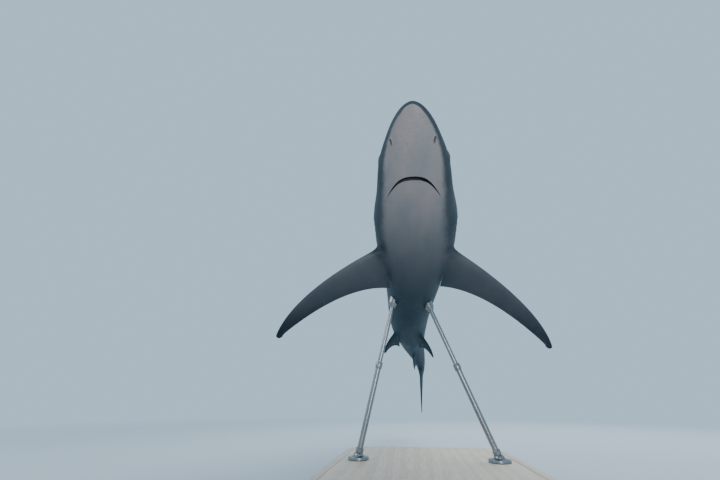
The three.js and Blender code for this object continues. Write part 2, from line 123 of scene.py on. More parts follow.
# Place, fullness above the spine and below it: 2 is an ellipse, more is squarer.
FULLNESS = [
    (0, 2, 2), (6, 2, 2.5), (14, 2.05, 2.35), (30, 1.95, 2.15), (60, 2, 2), (74, 2, 1.7),
    (80, 1.8, 1.3), (100, 1.8, 1.3),
]

# Place, then degrees that the spine runs to the left, upwards, and rolls over to the right.
BEND = [
    (0, 0, 0, 0), (14, 0, 0, 0), (25, -3, 5.2, 3.5), (40, -5.8, 1.8, -1.2),
    (55, 4.6, 4.6, -1), (65, 9, 3, -5), (72, 5, 0.6, -2), (78, -2, 27, -2), (100, -3, 30, -2),
]


def curve_through(rows, column, shape=float):
    """A smooth curve through one column of a table, which never overshoots the rows."""
    xs = [row[0] for row in rows]
    ys = [shape(row[column]) for row in rows]
    slopes = [(ys[i + 1] - ys[i]) / (xs[i + 1] - xs[i]) for i in range(len(xs) - 1)]
    tangents = [slopes[0]]
    for before, after in zip(slopes, slopes[1:]):
        same_way = before * after > 0
        tangents.append(2 * before * after / (before + after) if same_way else 0)
    tangents.append(slopes[-1])

    def value(x):
        at = min(max(x, xs[0]), xs[-1])
        i = max(0, next(k for k in range(len(xs)) if at <= xs[k]) - 1)
        width = xs[i + 1] - xs[i]
        t = (at - xs[i]) / width
        rise = 3 * t ** 2 - 2 * t ** 3
        leave = (t ** 3 - 2 * t ** 2 + t) * width * tangents[i]
        arrive = (t ** 3 - t ** 2) * width * tangents[i + 1]
        return (1 - rise) * ys[i] + rise * ys[i + 1] + leave + arrive

    return value


def size_curve(column):
    """A curve through the squares of the sizes, which rounds the snout and the tail's tip."""
    squares = curve_through(SECTIONS, column, lambda v: v * v)
    return lambda at: PC * math.sqrt(max(squares(at), 0))


half_width = size_curve(1)
height_above = size_curve(2)
depth_below = size_curve(3)
upper_fullness = curve_through(FULLNESS, 1)
lower_fullness = curve_through(FULLNESS, 2)
bend_left = curve_through(BEND, 1)
bend_up = curve_through(BEND, 2)
bend_roll = curve_through(BEND, 3)
widest = max(range(101), key=half_width)
print("the body is widest", widest, "hundredths behind the snout:",
      round(2 * half_width(widest), 3), "m")

# %% [markdown]
# ## The spine
#
# A swimming shark is never straight: its tail swings and its body rolls a little. The spine is
# walked in small steps, and each step remembers three directions: backwards, to the shark's left
# and up out of its back. Any point of the skin is then a place along the spine and a direction
# around it. The whole shark is at last turned into the climb in which the stand holds it.

# %% The spine and the skin's points
SPINE_STEP = 0.5  # hundredths of the length
CLIMB, BANK = 22, 5.5  # degrees that the shark climbs, and that its back leans to its right
SNOUT = Vector((0.012, -0.66, 0.93))
SHARK = (
    Matrix.Translation(SNOUT)
    @ Matrix.Rotation(math.radians(-90), 4, "Z")
    @ Matrix.Rotation(math.radians(-CLIMB), 4, "Y")
    @ Matrix.Rotation(math.radians(-BANK), 4, "X")
)


def walk_spine():
    """The spine's points from snout to tail, each with its back, left and up directions."""
    steps = []
    point = Vector()
    for i in range(round(100 / SPINE_STEP) + 1):
        at = i * SPINE_STEP
        left, up = math.radians(bend_left(at)), math.radians(bend_up(at))
        back = Vector((-math.cos(left) * math.cos(up), math.sin(left) * math.cos(up), math.sin(up)))
        side = back.cross(Vector((0, 0, 1))).normalized()
        side.rotate(Matrix.Rotation(-math.radians(bend_roll(at)), 3, back))
        steps.append((point.copy(), back, side, side.cross(back)))
        point = point + back * SPINE_STEP * PC
    return steps


SPINE = walk_spine()


def spine_at(at):
    """The spine's point and its back, left and up directions at a place along the body."""
    place = min(max(at / SPINE_STEP, 0), len(SPINE) - 1.001)
    i = int(place)
    return [a.lerp(b, place - i) for a, b in zip(SPINE[i], SPINE[i + 1])]


def signed_power(value, power):
    """A power that keeps the value's sign."""
    return math.copysign(abs(value) ** power, value)


def skin_point(at, rise, grow=0.0):
    """A point of the skin: rise 0 is the left flank, 90 the back, 180 the right, -90 the belly."""
    c, s = math.cos(math.radians(rise)), math.sin(math.radians(rise))
    fullness = upper_fullness(at) if s > 0 else lower_fullness(at)
    tall = height_above(at) if s > 0 else depth_below(at)
    point, back, side, up = spine_at(at)
    across = (half_width(at) + grow) * signed_power(c, 2 / fullness)
    return point + side * across + up * (tall + grow) * signed_power(s, 2 / fullness)


def rise_of(at, point):
    """The rise, around the body from the left flank, at which a point near the skin lies."""
    middle, back, side, up = spine_at(at)
    across, tall = (point - middle).dot(side), (point - middle).dot(up)
    fullness = upper_fullness(at) if tall > 0 else lower_fullness(at)
    height = height_above(at) if tall > 0 else depth_below(at)
    c = signed_power(across / half_width(at), fullness / 2)
    s = signed_power(tall / height, fullness / 2)
    return math.degrees(math.atan2(s, c))


tail_tip = SHARK @ spine_at(100)[0]
print("the spine ends at", [round(v, 3) for v in tail_tip])

# %% [markdown]
# ## The fins in numbers
#
# A shark's fin is a stiff foil: a convex front edge, a hollow rear edge and a free rear corner that
# trails behind the root. Each one is drawn flat, from its root outwards, and is then held against
# the body: the middle fins stand straight on the back or belly, and the paired fins droop and curl
# a little as they go out.

# %% Outlines of the fins
FINS = {
    "first_dorsal": dict(
        root=9.4, tip=(10.3, 8.2), tip_chord=0.75, tip_lean=-38, lead=(4.2, 6.6),
        trail=(8.6, 3.2), rear=(13.4, 0.75), thick=1.15),
    "second_dorsal": dict(
        root=3.0, tip=(3.1, 1.95), tip_chord=0.4, tip_lean=-45, lead=(1.2, 1.7),
        trail=(3.6, 0.75), rear=(8.0, 0.5), thick=0.5),
    "anal": dict(
        root=4.0, tip=(4.0, 2.4), tip_chord=0.4, tip_lean=-45, lead=(1.6, 2.3),
        trail=(4.1, 0.9), rear=(7.7, 0.55), thick=0.5),
    "pelvic": dict(
        root=4.2, tip=(4.9, 4.05), tip_chord=0.6, tip_lean=-40, lead=(2.0, 3.4),
        trail=(3.1, 1.1), rear=(6.7, 0.55), thick=0.7),
    "pectoral": dict(
        root=5.9, tip=(11.5, 21.1), tip_chord=1.15, tip_lean=-80, lead=(4.3, 16.3),
        trail=(5.5, 6.9), rear=(9.7, 0.6), thick=1.55),
    "lower_tail": dict(
        root=6.6, tip=(8.1, 8.5), tip_chord=0.6, tip_lean=-45, lead=(2.5, 4.2),
        trail=(6.5, 3.6), rear=(7.6, 0.6), thick=0.75),
}
INNER_SHARE = 0.16  # share of a fin's height that its free inner edge takes
INNER_BOW = (0.3, 0.35)  # how far along and out the inner edge's control point lies
EDGE_THICKNESS = 0.05  # of the rear edge
TIP_THINNING = 0.8  # share of the thickness that is gone at the tip
FOIL_TAPER, FOIL_PEAK = 1.35, 0.28  # how fast the foil thins behind, and its highest value
LOBE_ROOT_DEPTH = 0.6  # share of the body's depth at which the tail's lower lobe starts


def bow(start, control, end, t):
    """A point of the bowed line from start to end that leans towards control."""
    a, b, c = (1 - t) ** 2, 2 * t * (1 - t), t * t
    return Vector([a * p + b * q + c * r for p, q, r in zip(start, control, end)])


def fin_chord(fin, u, arc=0):
    """The front and rear ends of the chord at share u of the way out; arc rounds off the tip."""
    lean = math.radians(fin["tip_lean"])
    lean = Vector((math.cos(lean), math.sin(lean)))
    onwards = Vector((-lean.y, lean.x))
    tip = Vector(fin["tip"])
    half = fin["tip_chord"] / 2
    if arc:
        middle = tip + onwards * half * math.sin(math.radians(arc))
        reach = lean * half * math.cos(math.radians(arc))
        return middle - reach, middle + reach
    front = bow((0, 0), fin["lead"], tip - lean * half, u)
    root, rear = fin["root"], fin["rear"]
    if u < INNER_SHARE:
        control = (root + INNER_BOW[0] * (rear[0] - root), INNER_BOW[1] * rear[1])
        return front, bow((root, 0), control, rear, u / INNER_SHARE)
    behind = bow(rear, fin["trail"], tip + lean * half, (u - INNER_SHARE) / (1 - INNER_SHARE))
    return front, behind


def fin_half_thickness(fin, u, share):
    """Half the foil's thickness at a share of the chord: round in front and thin behind."""
    foil = math.sqrt(share) * (1 - share) / (1 + FOIL_TAPER * share) / FOIL_PEAK
    return fin["thick"] / 2 * (1 - TIP_THINNING * u) * foil + EDGE_THICKNESS / 2


# %% How each fin is held on the body
def on_the_middle(start, face):
    """Holds a fin upright on the back (face 1) or under the belly (face -1)."""
    def place(x, h, t):
        point, back, side, up = spine_at(start + x)
        edge = height_above(start + x) if face > 0 else depth_below(start + x)
        return point + up * face * (edge + h * PC) + side * t * PC
    return place


def on_the_flank(fin, side, start, root, droop, curl, sweep, pitch):
    """Holds a paired fin out from a flank, drooping and curling down as it goes."""
    rises = [rise if side > 0 else 180 - rise for rise in root]
    origin = skin_point(start, rises[0])
    along = (skin_point(start + fin["root"], rises[1]) - origin).normalized()
    point, back, left, up = spine_at(start + fin["root"] / 2)
    out = left * side
    out = (out - along * out.dot(along)).normalized()
    down = out.cross(along)
    if down.dot(up) > 0:
        down.negate()

    def place(x, h, t):
        reach = max(h, 0)
        turn = math.radians(curl) * reach / fin["tip"][1]
        chord_way = math.radians(droop) + turn / 2
        arc = math.sin(turn / 2) / (turn / 2) if turn > 0 else 1
        face = math.radians(droop) + turn
        swept = x + math.tan(math.radians(sweep)) * reach
        twist = -math.sin(math.radians(pitch)) * (x - fin["root"] / 2)
        return (
            origin + along * swept * PC
            + out * (h * arc * math.cos(chord_way) + t * math.sin(face)) * PC
            + down * (h * arc * math.sin(chord_way) - t * math.cos(face) + twist) * PC
        )

    return place


def under_the_tail(start):
    """Holds the tail fin's lower lobe in one flat upright plane."""
    point, back, side, up = spine_at(start)
    root = point - up * LOBE_ROOT_DEPTH * depth_below(start)
    return lambda x, h, t: root + (back * x - up * h + side * t) * PC


PECTORAL, PELVIC = FINS["pectoral"], FINS["pelvic"]
FIRST_DORSAL_AT, SECOND_DORSAL_AT, ANAL_AT, LOWER_TAIL_AT = 31.4, 62.4, 60.7, 71.6
PECTORAL_AT, PELVIC_AT = 21.8, 48.8
pectoral_span = PECTORAL["tip"][1] * PC
print("each pectoral fin reaches", round(pectoral_span, 3), "m out from its root")

# %% [markdown]
# ## The skin's cage
#
# One skin covers the whole fish, as on the real model, where the joins of the carved core are
# filled and sanded away. It is modelled as a cage of large faces that a Subdivision Surface then
# rounds. The cage starts as a circle at the snout and is extruded ring by ring to the tail. Its
# rings are bunched up where detail will be cut, and each ring may lean: under the head the rings
# curve around the mouth, and on the flanks they follow the slant of the gill slits.

# %% Rings and rows
AROUND = 32
ROW = 360 / AROUND
RINGS = []
MOUTH_CORNER_RISE = -51.4
MOUTH_LIPS = (8.85, 9.52)  # places of the two lips on the middle line
MOUTH_ARCH = 2.7  # 2 gives a pointed arch, more a rounder one with steeper ends
MOUTH_CORNERS = (12.05, 12.17)
GILL_PLACES = (18.2, 19.4, 20.6, 21.8, 22.9)
GILL_BOTTOM, GILL_TOP = -28, 17  # rises at which the slits end
LONG_GILLS, SHORT_GILL_BOTTOM = 3, -17  # the slits after the third end over the pectoral fin
GILL_LEAN, GILL_BOW = 0.9, 0.4
GILL_HALF = 0.12  # half the width of the strip of faces that becomes a slit
GILLS_START, GILLS_END = 17.6, 27.7  # the rings that lean or bunch up run between these
LARGE_STEPS, SMALL_STEPS = 8, 6  # faces along the root of a large and of a small fin

# Under the head the rings are drawn forwards, so that two of them run along the lips.
under_head = curve_through(
    [(0, 0), (3, 3), (MOUTH_CORNERS[0], MOUTH_LIPS[0]), (MOUTH_CORNERS[1], MOUTH_LIPS[1]),
     (18, 18)], 1)


def add_ring(flank, back=None, belly=None, lean=0.0, low=(-20, -60)):
    """Adds a ring of the cage by its places on the flank, the back and the belly."""
    RINGS.append(dict(
        flank=flank, back=flank if back is None else back,
        belly=flank if belly is None else belly, lean=lean, low=low))
    return len(RINGS) - 1


def chord_share(t):
    """Spreads rings along a fin's root, closer together towards the front."""
    return t ** 1.35


def head_ring(place):
    """A ring of the head, which leans forwards under the mouth."""
    return add_ring(place, belly=under_head(place), low=None)


for place in (0.05, 0.35, 0.9, 1.7, 2.5, 3.2):
    head_ring(place)
NOSTRIL_RING = head_ring(3.85)
for place in (5.35, 6.1):
    head_ring(place)
EYE_RING = head_ring(6.85)
for place in (7.35, 7.85, 8.35, 8.85, 9.6, 10.5, 11.4):
    head_ring(place)
MOUTH_RING = head_ring(MOUTH_CORNERS[0])
for place in (MOUTH_CORNERS[1], 12.8, 13.6, 14.5, 15.4, 16.3, 17.0):
    head_ring(place)

# Along the gills the flank has two rings for each slit and one on each flap between them.
gill_flank = [GILLS_START]
for place in GILL_PLACES[:4]:
    gill_flank += [place - GILL_HALF, place + GILL_HALF, place + 0.6]
gill_flank[-1] = 22.35
gill_flank += [GILL_PLACES[4] - GILL_HALF, GILL_PLACES[4] + GILL_HALF]
gill_flank += [23.6, 24.4, 25.4, 26.5, GILLS_END]
GILL_RINGS = []
pectoral_first = len(gill_flank) - 1 - LARGE_STEPS
for j, place in enumerate(gill_flank):
    if j <= pectoral_first:
        belly = GILLS_START + (PECTORAL_AT - GILLS_START) * j / pectoral_first
    else:
        belly = PECTORAL_AT + PECTORAL["root"] * chord_share((j - pectoral_first) / LARGE_STEPS)
    back = GILLS_START + (GILLS_END - GILLS_START) * j / (len(gill_flank) - 1)
    lean = 1 if 0 < j < pectoral_first + 4 else 0.5
    low = (-28.2, -45) if place < 21.5 else (SHORT_GILL_BOTTOM, -27)
    GILL_RINGS.append(add_ring(place, back, belly, lean if place < 24 else 0, low))
PECTORAL_RING = GILL_RINGS[pectoral_first]

for place in (28.9, 30.2):
    add_ring(place)
FIRST_DORSAL_RING = len(RINGS)
for i in range(LARGE_STEPS + 1):
    root = FINS["first_dorsal"]["root"]
    add_ring(FIRST_DORSAL_AT + root * i / LARGE_STEPS,
             back=FIRST_DORSAL_AT + root * chord_share(i / LARGE_STEPS))
for place in (42.4, 44.0, 45.6, 47.2):
    add_ring(place)
PELVIC_RING = len(RINGS)
for i in range(SMALL_STEPS + 1):
    add_ring(PELVIC_AT + PELVIC["root"] * chord_share(i / SMALL_STEPS))
for place in (54.9, 56.4, 57.9, 59.2):
    add_ring(place)
add_ring(60.2, back=60.9, belly=59.95)
SMALL_FINS_RING = len(RINGS)
for i in range(SMALL_STEPS + 1):
    back = SECOND_DORSAL_AT + FINS["second_dorsal"]["root"] * chord_share(i / SMALL_STEPS)
    belly = ANAL_AT + FINS["anal"]["root"] * chord_share(i / SMALL_STEPS)
    add_ring(61.2 + 4 * i / SMALL_STEPS, back, belly)
for place in (66.6, 68.0, 69.4, 70.6):
    add_ring(place)
LOWER_TAIL_RING = len(RINGS)
for i in range(SMALL_STEPS + 1):
    root = FINS["lower_tail"]["root"]
    add_ring(LOWER_TAIL_AT + root * i / SMALL_STEPS,
             belly=LOWER_TAIL_AT + root * chord_share(i / SMALL_STEPS))
for place in (79.4, 81, 83, 85.2, 87.5, 89.6, 91.2, 92.2, 92.9, 93.6, 94.4, 95.4, 96.6, 97.7,
              98.6, 99.3, 99.75, 99.95):
    add_ring(place)
print("the cage has", len(RINGS), "rings of", AROUND, "points")


# %% Where each point of the cage lies
BACK_BLEND = (20, 50)  # rises between which a ring goes over from its flank to its back place


def folded_rise(row):
    """The default rise of a row, told for the left side: -90 on the belly, 90 on the back."""
    rise = ROW * (row + 0.5)
    rise = rise - 360 if rise > 270 else rise
    return rise if rise <= 90 else 180 - rise


def share_between(value, start, end):
    """How far a value has gone from start to end, from 0 to 1."""
    return min(max((value - start) / (end - start), 0), 1)


def cage_place(ring, row):
    """The place along the body of one point of a ring, which may lean."""
    ring, rise = RINGS[ring], folded_rise(row)
    if ring["low"] is None:
        corner = math.cos(math.radians(MOUTH_CORNER_RISE))
        share = min(1, (math.cos(math.radians(rise)) / corner) ** MOUTH_ARCH) if rise < 0 else 1
        return ring["belly"] + (ring["flank"] - ring["belly"]) * share
    to_back = share_between(rise, *BACK_BLEND)
    to_belly = share_between(rise, *ring["low"])
    up = share_between(rise, GILL_BOTTOM, GILL_TOP)
    slant = ring["lean"] * (GILL_LEAN * (up - 0.5) - GILL_BOW * math.sin(math.pi * up))
    return (
        ring["flank"] + (ring["back"] - ring["flank"]) * to_back
        + (ring["belly"] - ring["flank"]) * to_belly + slant * (1 - to_back) * (1 - to_belly)
    )


# Each fin grows out of a strip of faces one row wide. Its rows are (left or upper, the other), and
# its pale shares are those of the same two sides: 1 is the colour of the belly.
def fin_strip(name, hold, start, ring, steps, rows, levels, fillet, pale):
    """What the cage needs to know to grow one fin."""
    return dict(
        name=name, fin=FINS[name], hold=hold, start=start, ring=ring, steps=steps, rows=rows,
        levels=levels, fillet=fillet, pale=pale)


LARGE_LEVELS = (0.04, 0.085, 0.13, 0.158, 0.18, 0.22, 0.3, 0.4, 0.52, 0.64, 0.76, 0.87, 0.95, 1)
SMALL_LEVELS = (0.06, 0.12, 0.155, 0.19, 0.3, 0.46, 0.64, 0.82, 0.94, 1)
LOBE_LEVELS = (0.2, 0.26, 0.34, 0.45, 0.58, 0.72, 0.86, 0.95, 1)
STRIPS = [
    fin_strip("first_dorsal", on_the_middle(FIRST_DORSAL_AT, 1), FIRST_DORSAL_AT,
              FIRST_DORSAL_RING, LARGE_STEPS, (7, 8), LARGE_LEVELS, 0.3, (0, 0)),
    fin_strip("second_dorsal", on_the_middle(SECOND_DORSAL_AT, 1), SECOND_DORSAL_AT,
              SMALL_FINS_RING, SMALL_STEPS, (7, 8), SMALL_LEVELS, 0.15, (0, 0)),
    fin_strip("anal", on_the_middle(ANAL_AT, -1), ANAL_AT, SMALL_FINS_RING, SMALL_STEPS,
              (24, 23), SMALL_LEVELS, 0.15, (0.75, 0.75)),
    fin_strip("lower_tail", under_the_tail(LOWER_TAIL_AT), LOWER_TAIL_AT, LOWER_TAIL_RING,
              SMALL_STEPS, (24, 23), LOBE_LEVELS, 0.12, (0.3, 0.3)),
]
for side, rows, held in [
    (1, (29, 28), dict(droop=14, curl=8.5, sweep=5, pitch=12.5)),
    (-1, (18, 19), dict(droop=27.5, curl=8, sweep=-13, pitch=7)),
]:
    hold = on_the_flank(PECTORAL, side, PECTORAL_AT, (-28, -45), **held)
    STRIPS.append(fin_strip("pectoral", hold, PECTORAL_AT, PECTORAL_RING, LARGE_STEPS, rows,
                            LARGE_LEVELS, 0.35, (0, 1)))
for side, rows, droop in [(1, (28, 27), 34), (-1, (19, 20), 32)]:
    hold = on_the_flank(PELVIC, side, PELVIC_AT, (-46, -54), droop, 6, 0, 0)
    STRIPS.append(fin_strip("pelvic", hold, PELVIC_AT, PELVIC_RING, SMALL_STEPS, rows,
                            SMALL_LEVELS, 0.2, (0, 1)))


def footprint_rise(strip, step, face):
    """The rise at which a fin's edge meets the body; face 1 is its left or upper side."""
    share = chord_share(step / strip["steps"])
    x = strip["fin"]["root"] * share
    t = fin_half_thickness(strip["fin"], 0, share) + strip["fillet"]
    return rise_of(strip["start"] + x, strip["hold"](x, 0, face * t))


def turn_between(start, end):
    """The short way round from one rise to another."""
    return (end - start + 180) % 360 - 180


EYE_LIFT = 4.4  # degrees that the rows of the eye patch move up
NOSTRIL_SPREAD = {-17: 2, -28: 5, -39: 7, -51: -1}  # degrees, for the rows at these rises


def head_shift(ring, row):
    """Moves rows up around the eyes, and apart around the nostrils."""
    rise = folded_rise(row)
    by_eye = 1 - share_between(abs(ring - EYE_RING - 2), 3, 6)
    lift = EYE_LIFT * by_eye * (1 - share_between(abs(rise - 5), 30, 60))
    by_nostril = 1 - share_between(abs(ring - NOSTRIL_RING - 0.5), 0.6, 3)
    lift += NOSTRIL_SPREAD.get(round(rise), 0) * by_nostril
    return lift if row < AROUND / 4 or row >= AROUND * 3 / 4 else -lift


SPREAD = 4  # rings and rows over which a fin's footprint shifts its neighbours


def cage_rise(ring, row):
    """The rise of a cage point: its row's own, shifted where fins and eyes need it."""
    default = ROW * (row + 0.5)
    rise = default + head_shift(ring, row)
    for strip in STRIPS:
        step = min(max(ring - strip["ring"], 0), strip["steps"])
        beyond = abs(ring - strip["ring"] - step)
        away = [(row - edge + AROUND / 2) % AROUND - AROUND / 2 for edge in strip["rows"]]
        face = 1 if abs(away[0]) < abs(away[1]) else -1
        rows_off = min(abs(away[0]), abs(away[1]))
        weight = max(0, 1 - beyond / SPREAD) * max(0, 1 - rows_off / SPREAD)
        if weight > 0:
            edge = strip["rows"][0] if face > 0 else strip["rows"][1]
            shift = turn_between(ROW * (edge + 0.5), footprint_rise(strip, step, face))
            rise += shift * weight
    return rise


FLAP_HEIGHTS = (0.0006, 0.0014, -0.0010)  # metres, on a flap, before its slit and behind it
LAST_FLAP_HEIGHT = 0.0004


def cage_grow(ring, row):
    """How far a point stands proud of the body: each gill flap overlaps the slit behind it."""
    if ring not in GILL_RINGS:
        return 0
    rise = folded_rise(row)
    number, part = divmod(GILL_RINGS.index(ring), 3)
    bottom = GILL_BOTTOM if number < LONG_GILLS else SHORT_GILL_BOTTOM
    above_end = share_between(rise, bottom - 12, bottom)
    inside = above_end * (1 - share_between(rise, GILL_TOP, GILL_TOP + 12))
    last = len(GILL_PLACES) - 1
    if number > last or (number == last and part == 0):
        return LAST_FLAP_HEIGHT * inside * (part == 0)
    return FLAP_HEIGHTS[part] * inside


def place_along(point, at):
    """The place along the spine abreast of a point, starting from a guess."""
    for _ in range(4):
        middle, back, side, up = spine_at(at)
        at += (point - middle).dot(back) / PC
        at = min(max(at, 0), 100)
    return at


def kept_off(point, at, margin):
    """The point itself, or if it lies in the body, the place just outside the skin above it."""
    at = place_along(point, at)
    middle, back, side, up = spine_at(at)
    across = point - middle
    across -= back * across.dot(back)
    to_skin = skin_point(at, rise_of(at, point), margin * PC) - middle
    return point if across.length > to_skin.length else middle + to_skin


# %% Extrude the body from the snout to the tail
def start_edit(name):
    """Takes the new primitive, names it and leaves it in edit mode."""
    piece = bpy.context.object
    piece.name = piece.data.name = name
    bpy.ops.object.mode_set(mode="EDIT")
    return piece


def edit_layers(piece):
    """The edit mesh and its vertex layers, made if they aren't there yet."""
    mesh = bmesh.from_edit_mesh(piece.data)
    for name in ("ring", "row"):
        if name not in mesh.verts.layers.int:
            mesh.verts.layers.int.new(name)
    for name in ("along", "turn_c", "turn_s", "fin_out", "fin_pale", "ray", "lining_shade"):
        if name not in mesh.verts.layers.float:
            mesh.verts.layers.float.new(name)
    return mesh, mesh.verts.layers.int, mesh.verts.layers.float


def move_selected(piece, move):
    """Hands each selected point of the edit mesh to move(vertex, whole, real)."""
    mesh, whole, real = edit_layers(piece)
    for vertex in mesh.verts:
        if vertex.select:
            move(vertex, whole, real)
    bmesh.update_edit_mesh(piece.data)


def note_along(vertex, real, at, rise):
    """Keeps where a point of the skin lies, along and around the body; rise is in radians."""
    vertex[real["along"]] = at
    vertex[real["turn_c"]] = math.cos(rise)
    vertex[real["turn_s"]] = math.sin(rise)


def put_ring(piece, index):
    """Puts the selected points where the ring of that number runs."""
    def move(vertex, whole, real):
        vertex[whole["ring"]] = index
        row = vertex[whole["row"]]
        at, rise = cage_place(index, row), cage_rise(index, row)
        vertex.co = skin_point(at, rise, cage_grow(index, row))
        note_along(vertex, real, at, math.radians(rise))

    move_selected(piece, move)


END_POINT, FIN_POINT = -1, -2  # in place of a ring's number


def close_end(piece, at):
    """Closes the selected end ring with a fan around one point on the spine."""
    def move(vertex, whole, real):
        vertex.co = spine_at(at)[0]
        vertex[whole["ring"]] = END_POINT
        vertex[real["along"]] = at
        vertex[real["turn_c"]] = 0
        vertex[real["turn_s"]] = 1

    bpy.ops.mesh.extrude_region_move()
    bpy.ops.mesh.merge(type="CENTER")
    move_selected(piece, move)


bpy.ops.object.select_all(action="DESELECT")
bpy.ops.mesh.primitive_circle_add(vertices=AROUND, radius=half_width(RINGS[0]["flank"]))
skin = start_edit("shark_skin")
mesh, whole, real = edit_layers(skin)
for row, vertex in enumerate(mesh.verts):
    vertex[whole["row"]] = row
bmesh.update_edit_mesh(skin.data)
put_ring(skin, 0)
close_end(skin, 0)
mesh, whole, real = edit_layers(skin)
for vertex in mesh.verts:
    vertex.select_set(vertex[whole["ring"]] == 0)
mesh.select_flush(True)
bmesh.update_edit_mesh(skin.data)
for index in range(1, len(RINGS)):
    bpy.ops.mesh.extrude_region_move()
    put_ring(skin, index)
close_end(skin, 100)
print("the body's cage has", len(bmesh.from_edit_mesh(skin.data).faces), "faces")


# %% Grow the fins out of the body
def select_faces(piece, rings, rows):
    """Selects only the body faces between these rings and rows."""
    bpy.ops.mesh.select_all(action="DESELECT")
    mesh, whole, real = edit_layers(piece)
    for face in mesh.faces:
        on_rings = all(vertex[whole["ring"]] in rings for vertex in face.verts)
        on_rows = all(vertex[whole["row"]] in rows for vertex in face.verts)
        # The other faces are left alone: to deselect one would also let go of the corners that it
        # shares with a chosen face.
        if on_rings and on_rows:
            face.select_set(True)
    bmesh.update_edit_mesh(piece.data)


def extrude_faces(piece, move):
    """Extrudes the selected faces and hands each new point to move(vertex, whole, real)."""
    bpy.ops.mesh.extrude_region_move()
    move_selected(piece, move)


TIP_ARCS = (40, 72)  # degrees around a fin's rounded tip
ROOT_END = 0.35  # share of the way out within which a fin's points are kept off the body


def grow_fin(piece, strip):
    """Extrudes one fin level by level along its outline, out to its rounded tip."""
    fin, hold = strip["fin"], strip["hold"]
    rings = range(strip["ring"], strip["ring"] + strip["steps"] + 1)
    select_faces(piece, rings, strip["rows"])
    levels = [(u, 0) for u in strip["levels"]] + [(1, arc) for arc in TIP_ARCS]
    for number, (u, arc) in enumerate(levels):
        front, rear = fin_chord(fin, u, arc)

        def move(vertex, whole, real):
            share = chord_share((vertex[whole["ring"]] - strip["ring"]) / strip["steps"])
            face = 1 if vertex[whole["row"]] == strip["rows"][0] else -1
            x, h = front.lerp(rear, share)
            t = face * fin_half_thickness(fin, u, share)
            point = hold(x, h, t)
            margin = 0.06 + 0.04 * number
            vertex.co = kept_off(point, strip["start"] + x, margin) if u < ROOT_END else point
            vertex[real["fin_out"]] = u
            vertex[real["ray"]] = share
            vertex[real["fin_pale"]] = strip["pale"][0 if face > 0 else 1]

        extrude_faces(piece, move)
    mesh, whole, real = edit_layers(piece)
    for vertex in mesh.verts:
        if vertex[real["fin_out"]] > 0 and vertex[whole["ring"]] >= 0:
            vertex[whole["ring"]] = FIN_POINT
    bmesh.update_edit_mesh(piece.data)


for strip in STRIPS:
    grow_fin(skin, strip)
print("with its", len(STRIPS), "fins the cage has",
      len(bmesh.from_edit_mesh(skin.data).faces), "faces")

# %% [markdown]
# ## Eyes, mouth, gills and nostrils
#
# On the real head these are openings with rolled edges, not lines drawn on the skin. Each one is
# made from faces of the cage that already lie in the right place. The faces are inset, so that
# there is a narrow rim to roll, and then extruded inwards in a few levels. The eye sockets follow
# a ball, the mouth opens into a throat, and each gill slit runs forwards under its flap. The deeper
# levels are painted darker, as painted shade inside each opening.

# %% Eye sockets with rounded lids
EYE_AT, EYE_RISE = 8.1, 10
EYE_RADIUS, EYE_SHOWING = 1.3 * PC, 0.2 * PC
LID_OVERLAP = 0.0002  # height over the skin at which the lid meets the ball
EYE_PROUD = 0.0040  # how far the ball stands out of the skin
SOCKET_SPREAD = 1.05  # makes up for what the rounding of the cage takes off the socket
SOCKET_ANGLES = (48, 75, 110, 145)  # degrees from the line of sight


def on_skin(point, at, grow):
    """The point of the skin nearest to this direction from the spine."""
    at = place_along(point, at)
    return skin_point(at, rise_of(at, point), grow)


def nearest_on_skin(point, at, rise):
    """The point of the skin nearest to a given point, found in ever smaller steps."""
    for step in (0.8, 0.4, 0.2, 0.1, 0.05, 0.02):
        for _ in range(8):
            tries = [(at + i * step, rise + j * step * 9) for i in (-1, 0, 1) for j in (-1, 0, 1)]
            at, rise = min(tries, key=lambda place: (skin_point(*place) - point).length)
    return skin_point(at, rise)


def note_place(vertex, real, at):
    """Works out and keeps where a moved point of the skin now lies."""
    at = place_along(vertex.co, at)
    note_along(vertex, real, at, math.radians(rise_of(at, vertex.co)))


def eye_frame(side):
    """The middle of an eyeball, the way it looks and the middle of its opening."""
    point, back, left, up = spine_at(EYE_AT)
    rise = EYE_RISE if side > 0 else 180 - EYE_RISE
    straight = (left * side + up * math.tan(math.radians(EYE_RISE))).normalized()
    centre = skin_point(EYE_AT, rise) + straight * (EYE_SHOWING - EYE_RADIUS)
    opening = nearest_on_skin(centre, EYE_AT, rise)
    axis = (opening - centre).normalized()
    return opening - axis * (EYE_RADIUS - EYE_PROUD), axis, opening


def inset_faces(piece, move, thickness=0.0004):
    """Insets the selected faces and hands each inner point to move(vertex, whole, real)."""
    bpy.ops.mesh.inset(thickness=thickness, use_even_offset=False)
    move_selected(piece, move)


def mirrored_row(row):
    """The row at the same height on the other flank."""
    return (AROUND // 2 - 1 - row) % AROUND


def disc_place(vertex, whole, side):
    """Turns a point of the square eye patch into a share of the radius and an angle."""
    i = vertex[whole["ring"]] - EYE_RING - 2
    row = vertex[whole["row"]]
    row = row if side > 0 else mirrored_row(row)
    j = (row + 2) % AROUND - 2
    reach = max(abs(i), abs(j))
    if reach == 0:
        return 0, 0
    if abs(i) >= abs(j):
        angle = 45 * j / abs(i)
        angle = angle if i > 0 else 180 - angle
    else:
        angle = 90 - 45 * i / abs(j)
        angle = angle if j > 0 else -angle
    return reach / 2, angle


def eye_ways(side):
    """The directions over the eye's opening: towards the tail and towards the back."""
    centre, axis, opening = eye_frame(side)
    back = spine_at(EYE_AT)[1]
    back = (back - axis * back.dot(axis)).normalized()
    up = axis.cross(back) if side > 0 else back.cross(axis)
    return back, up


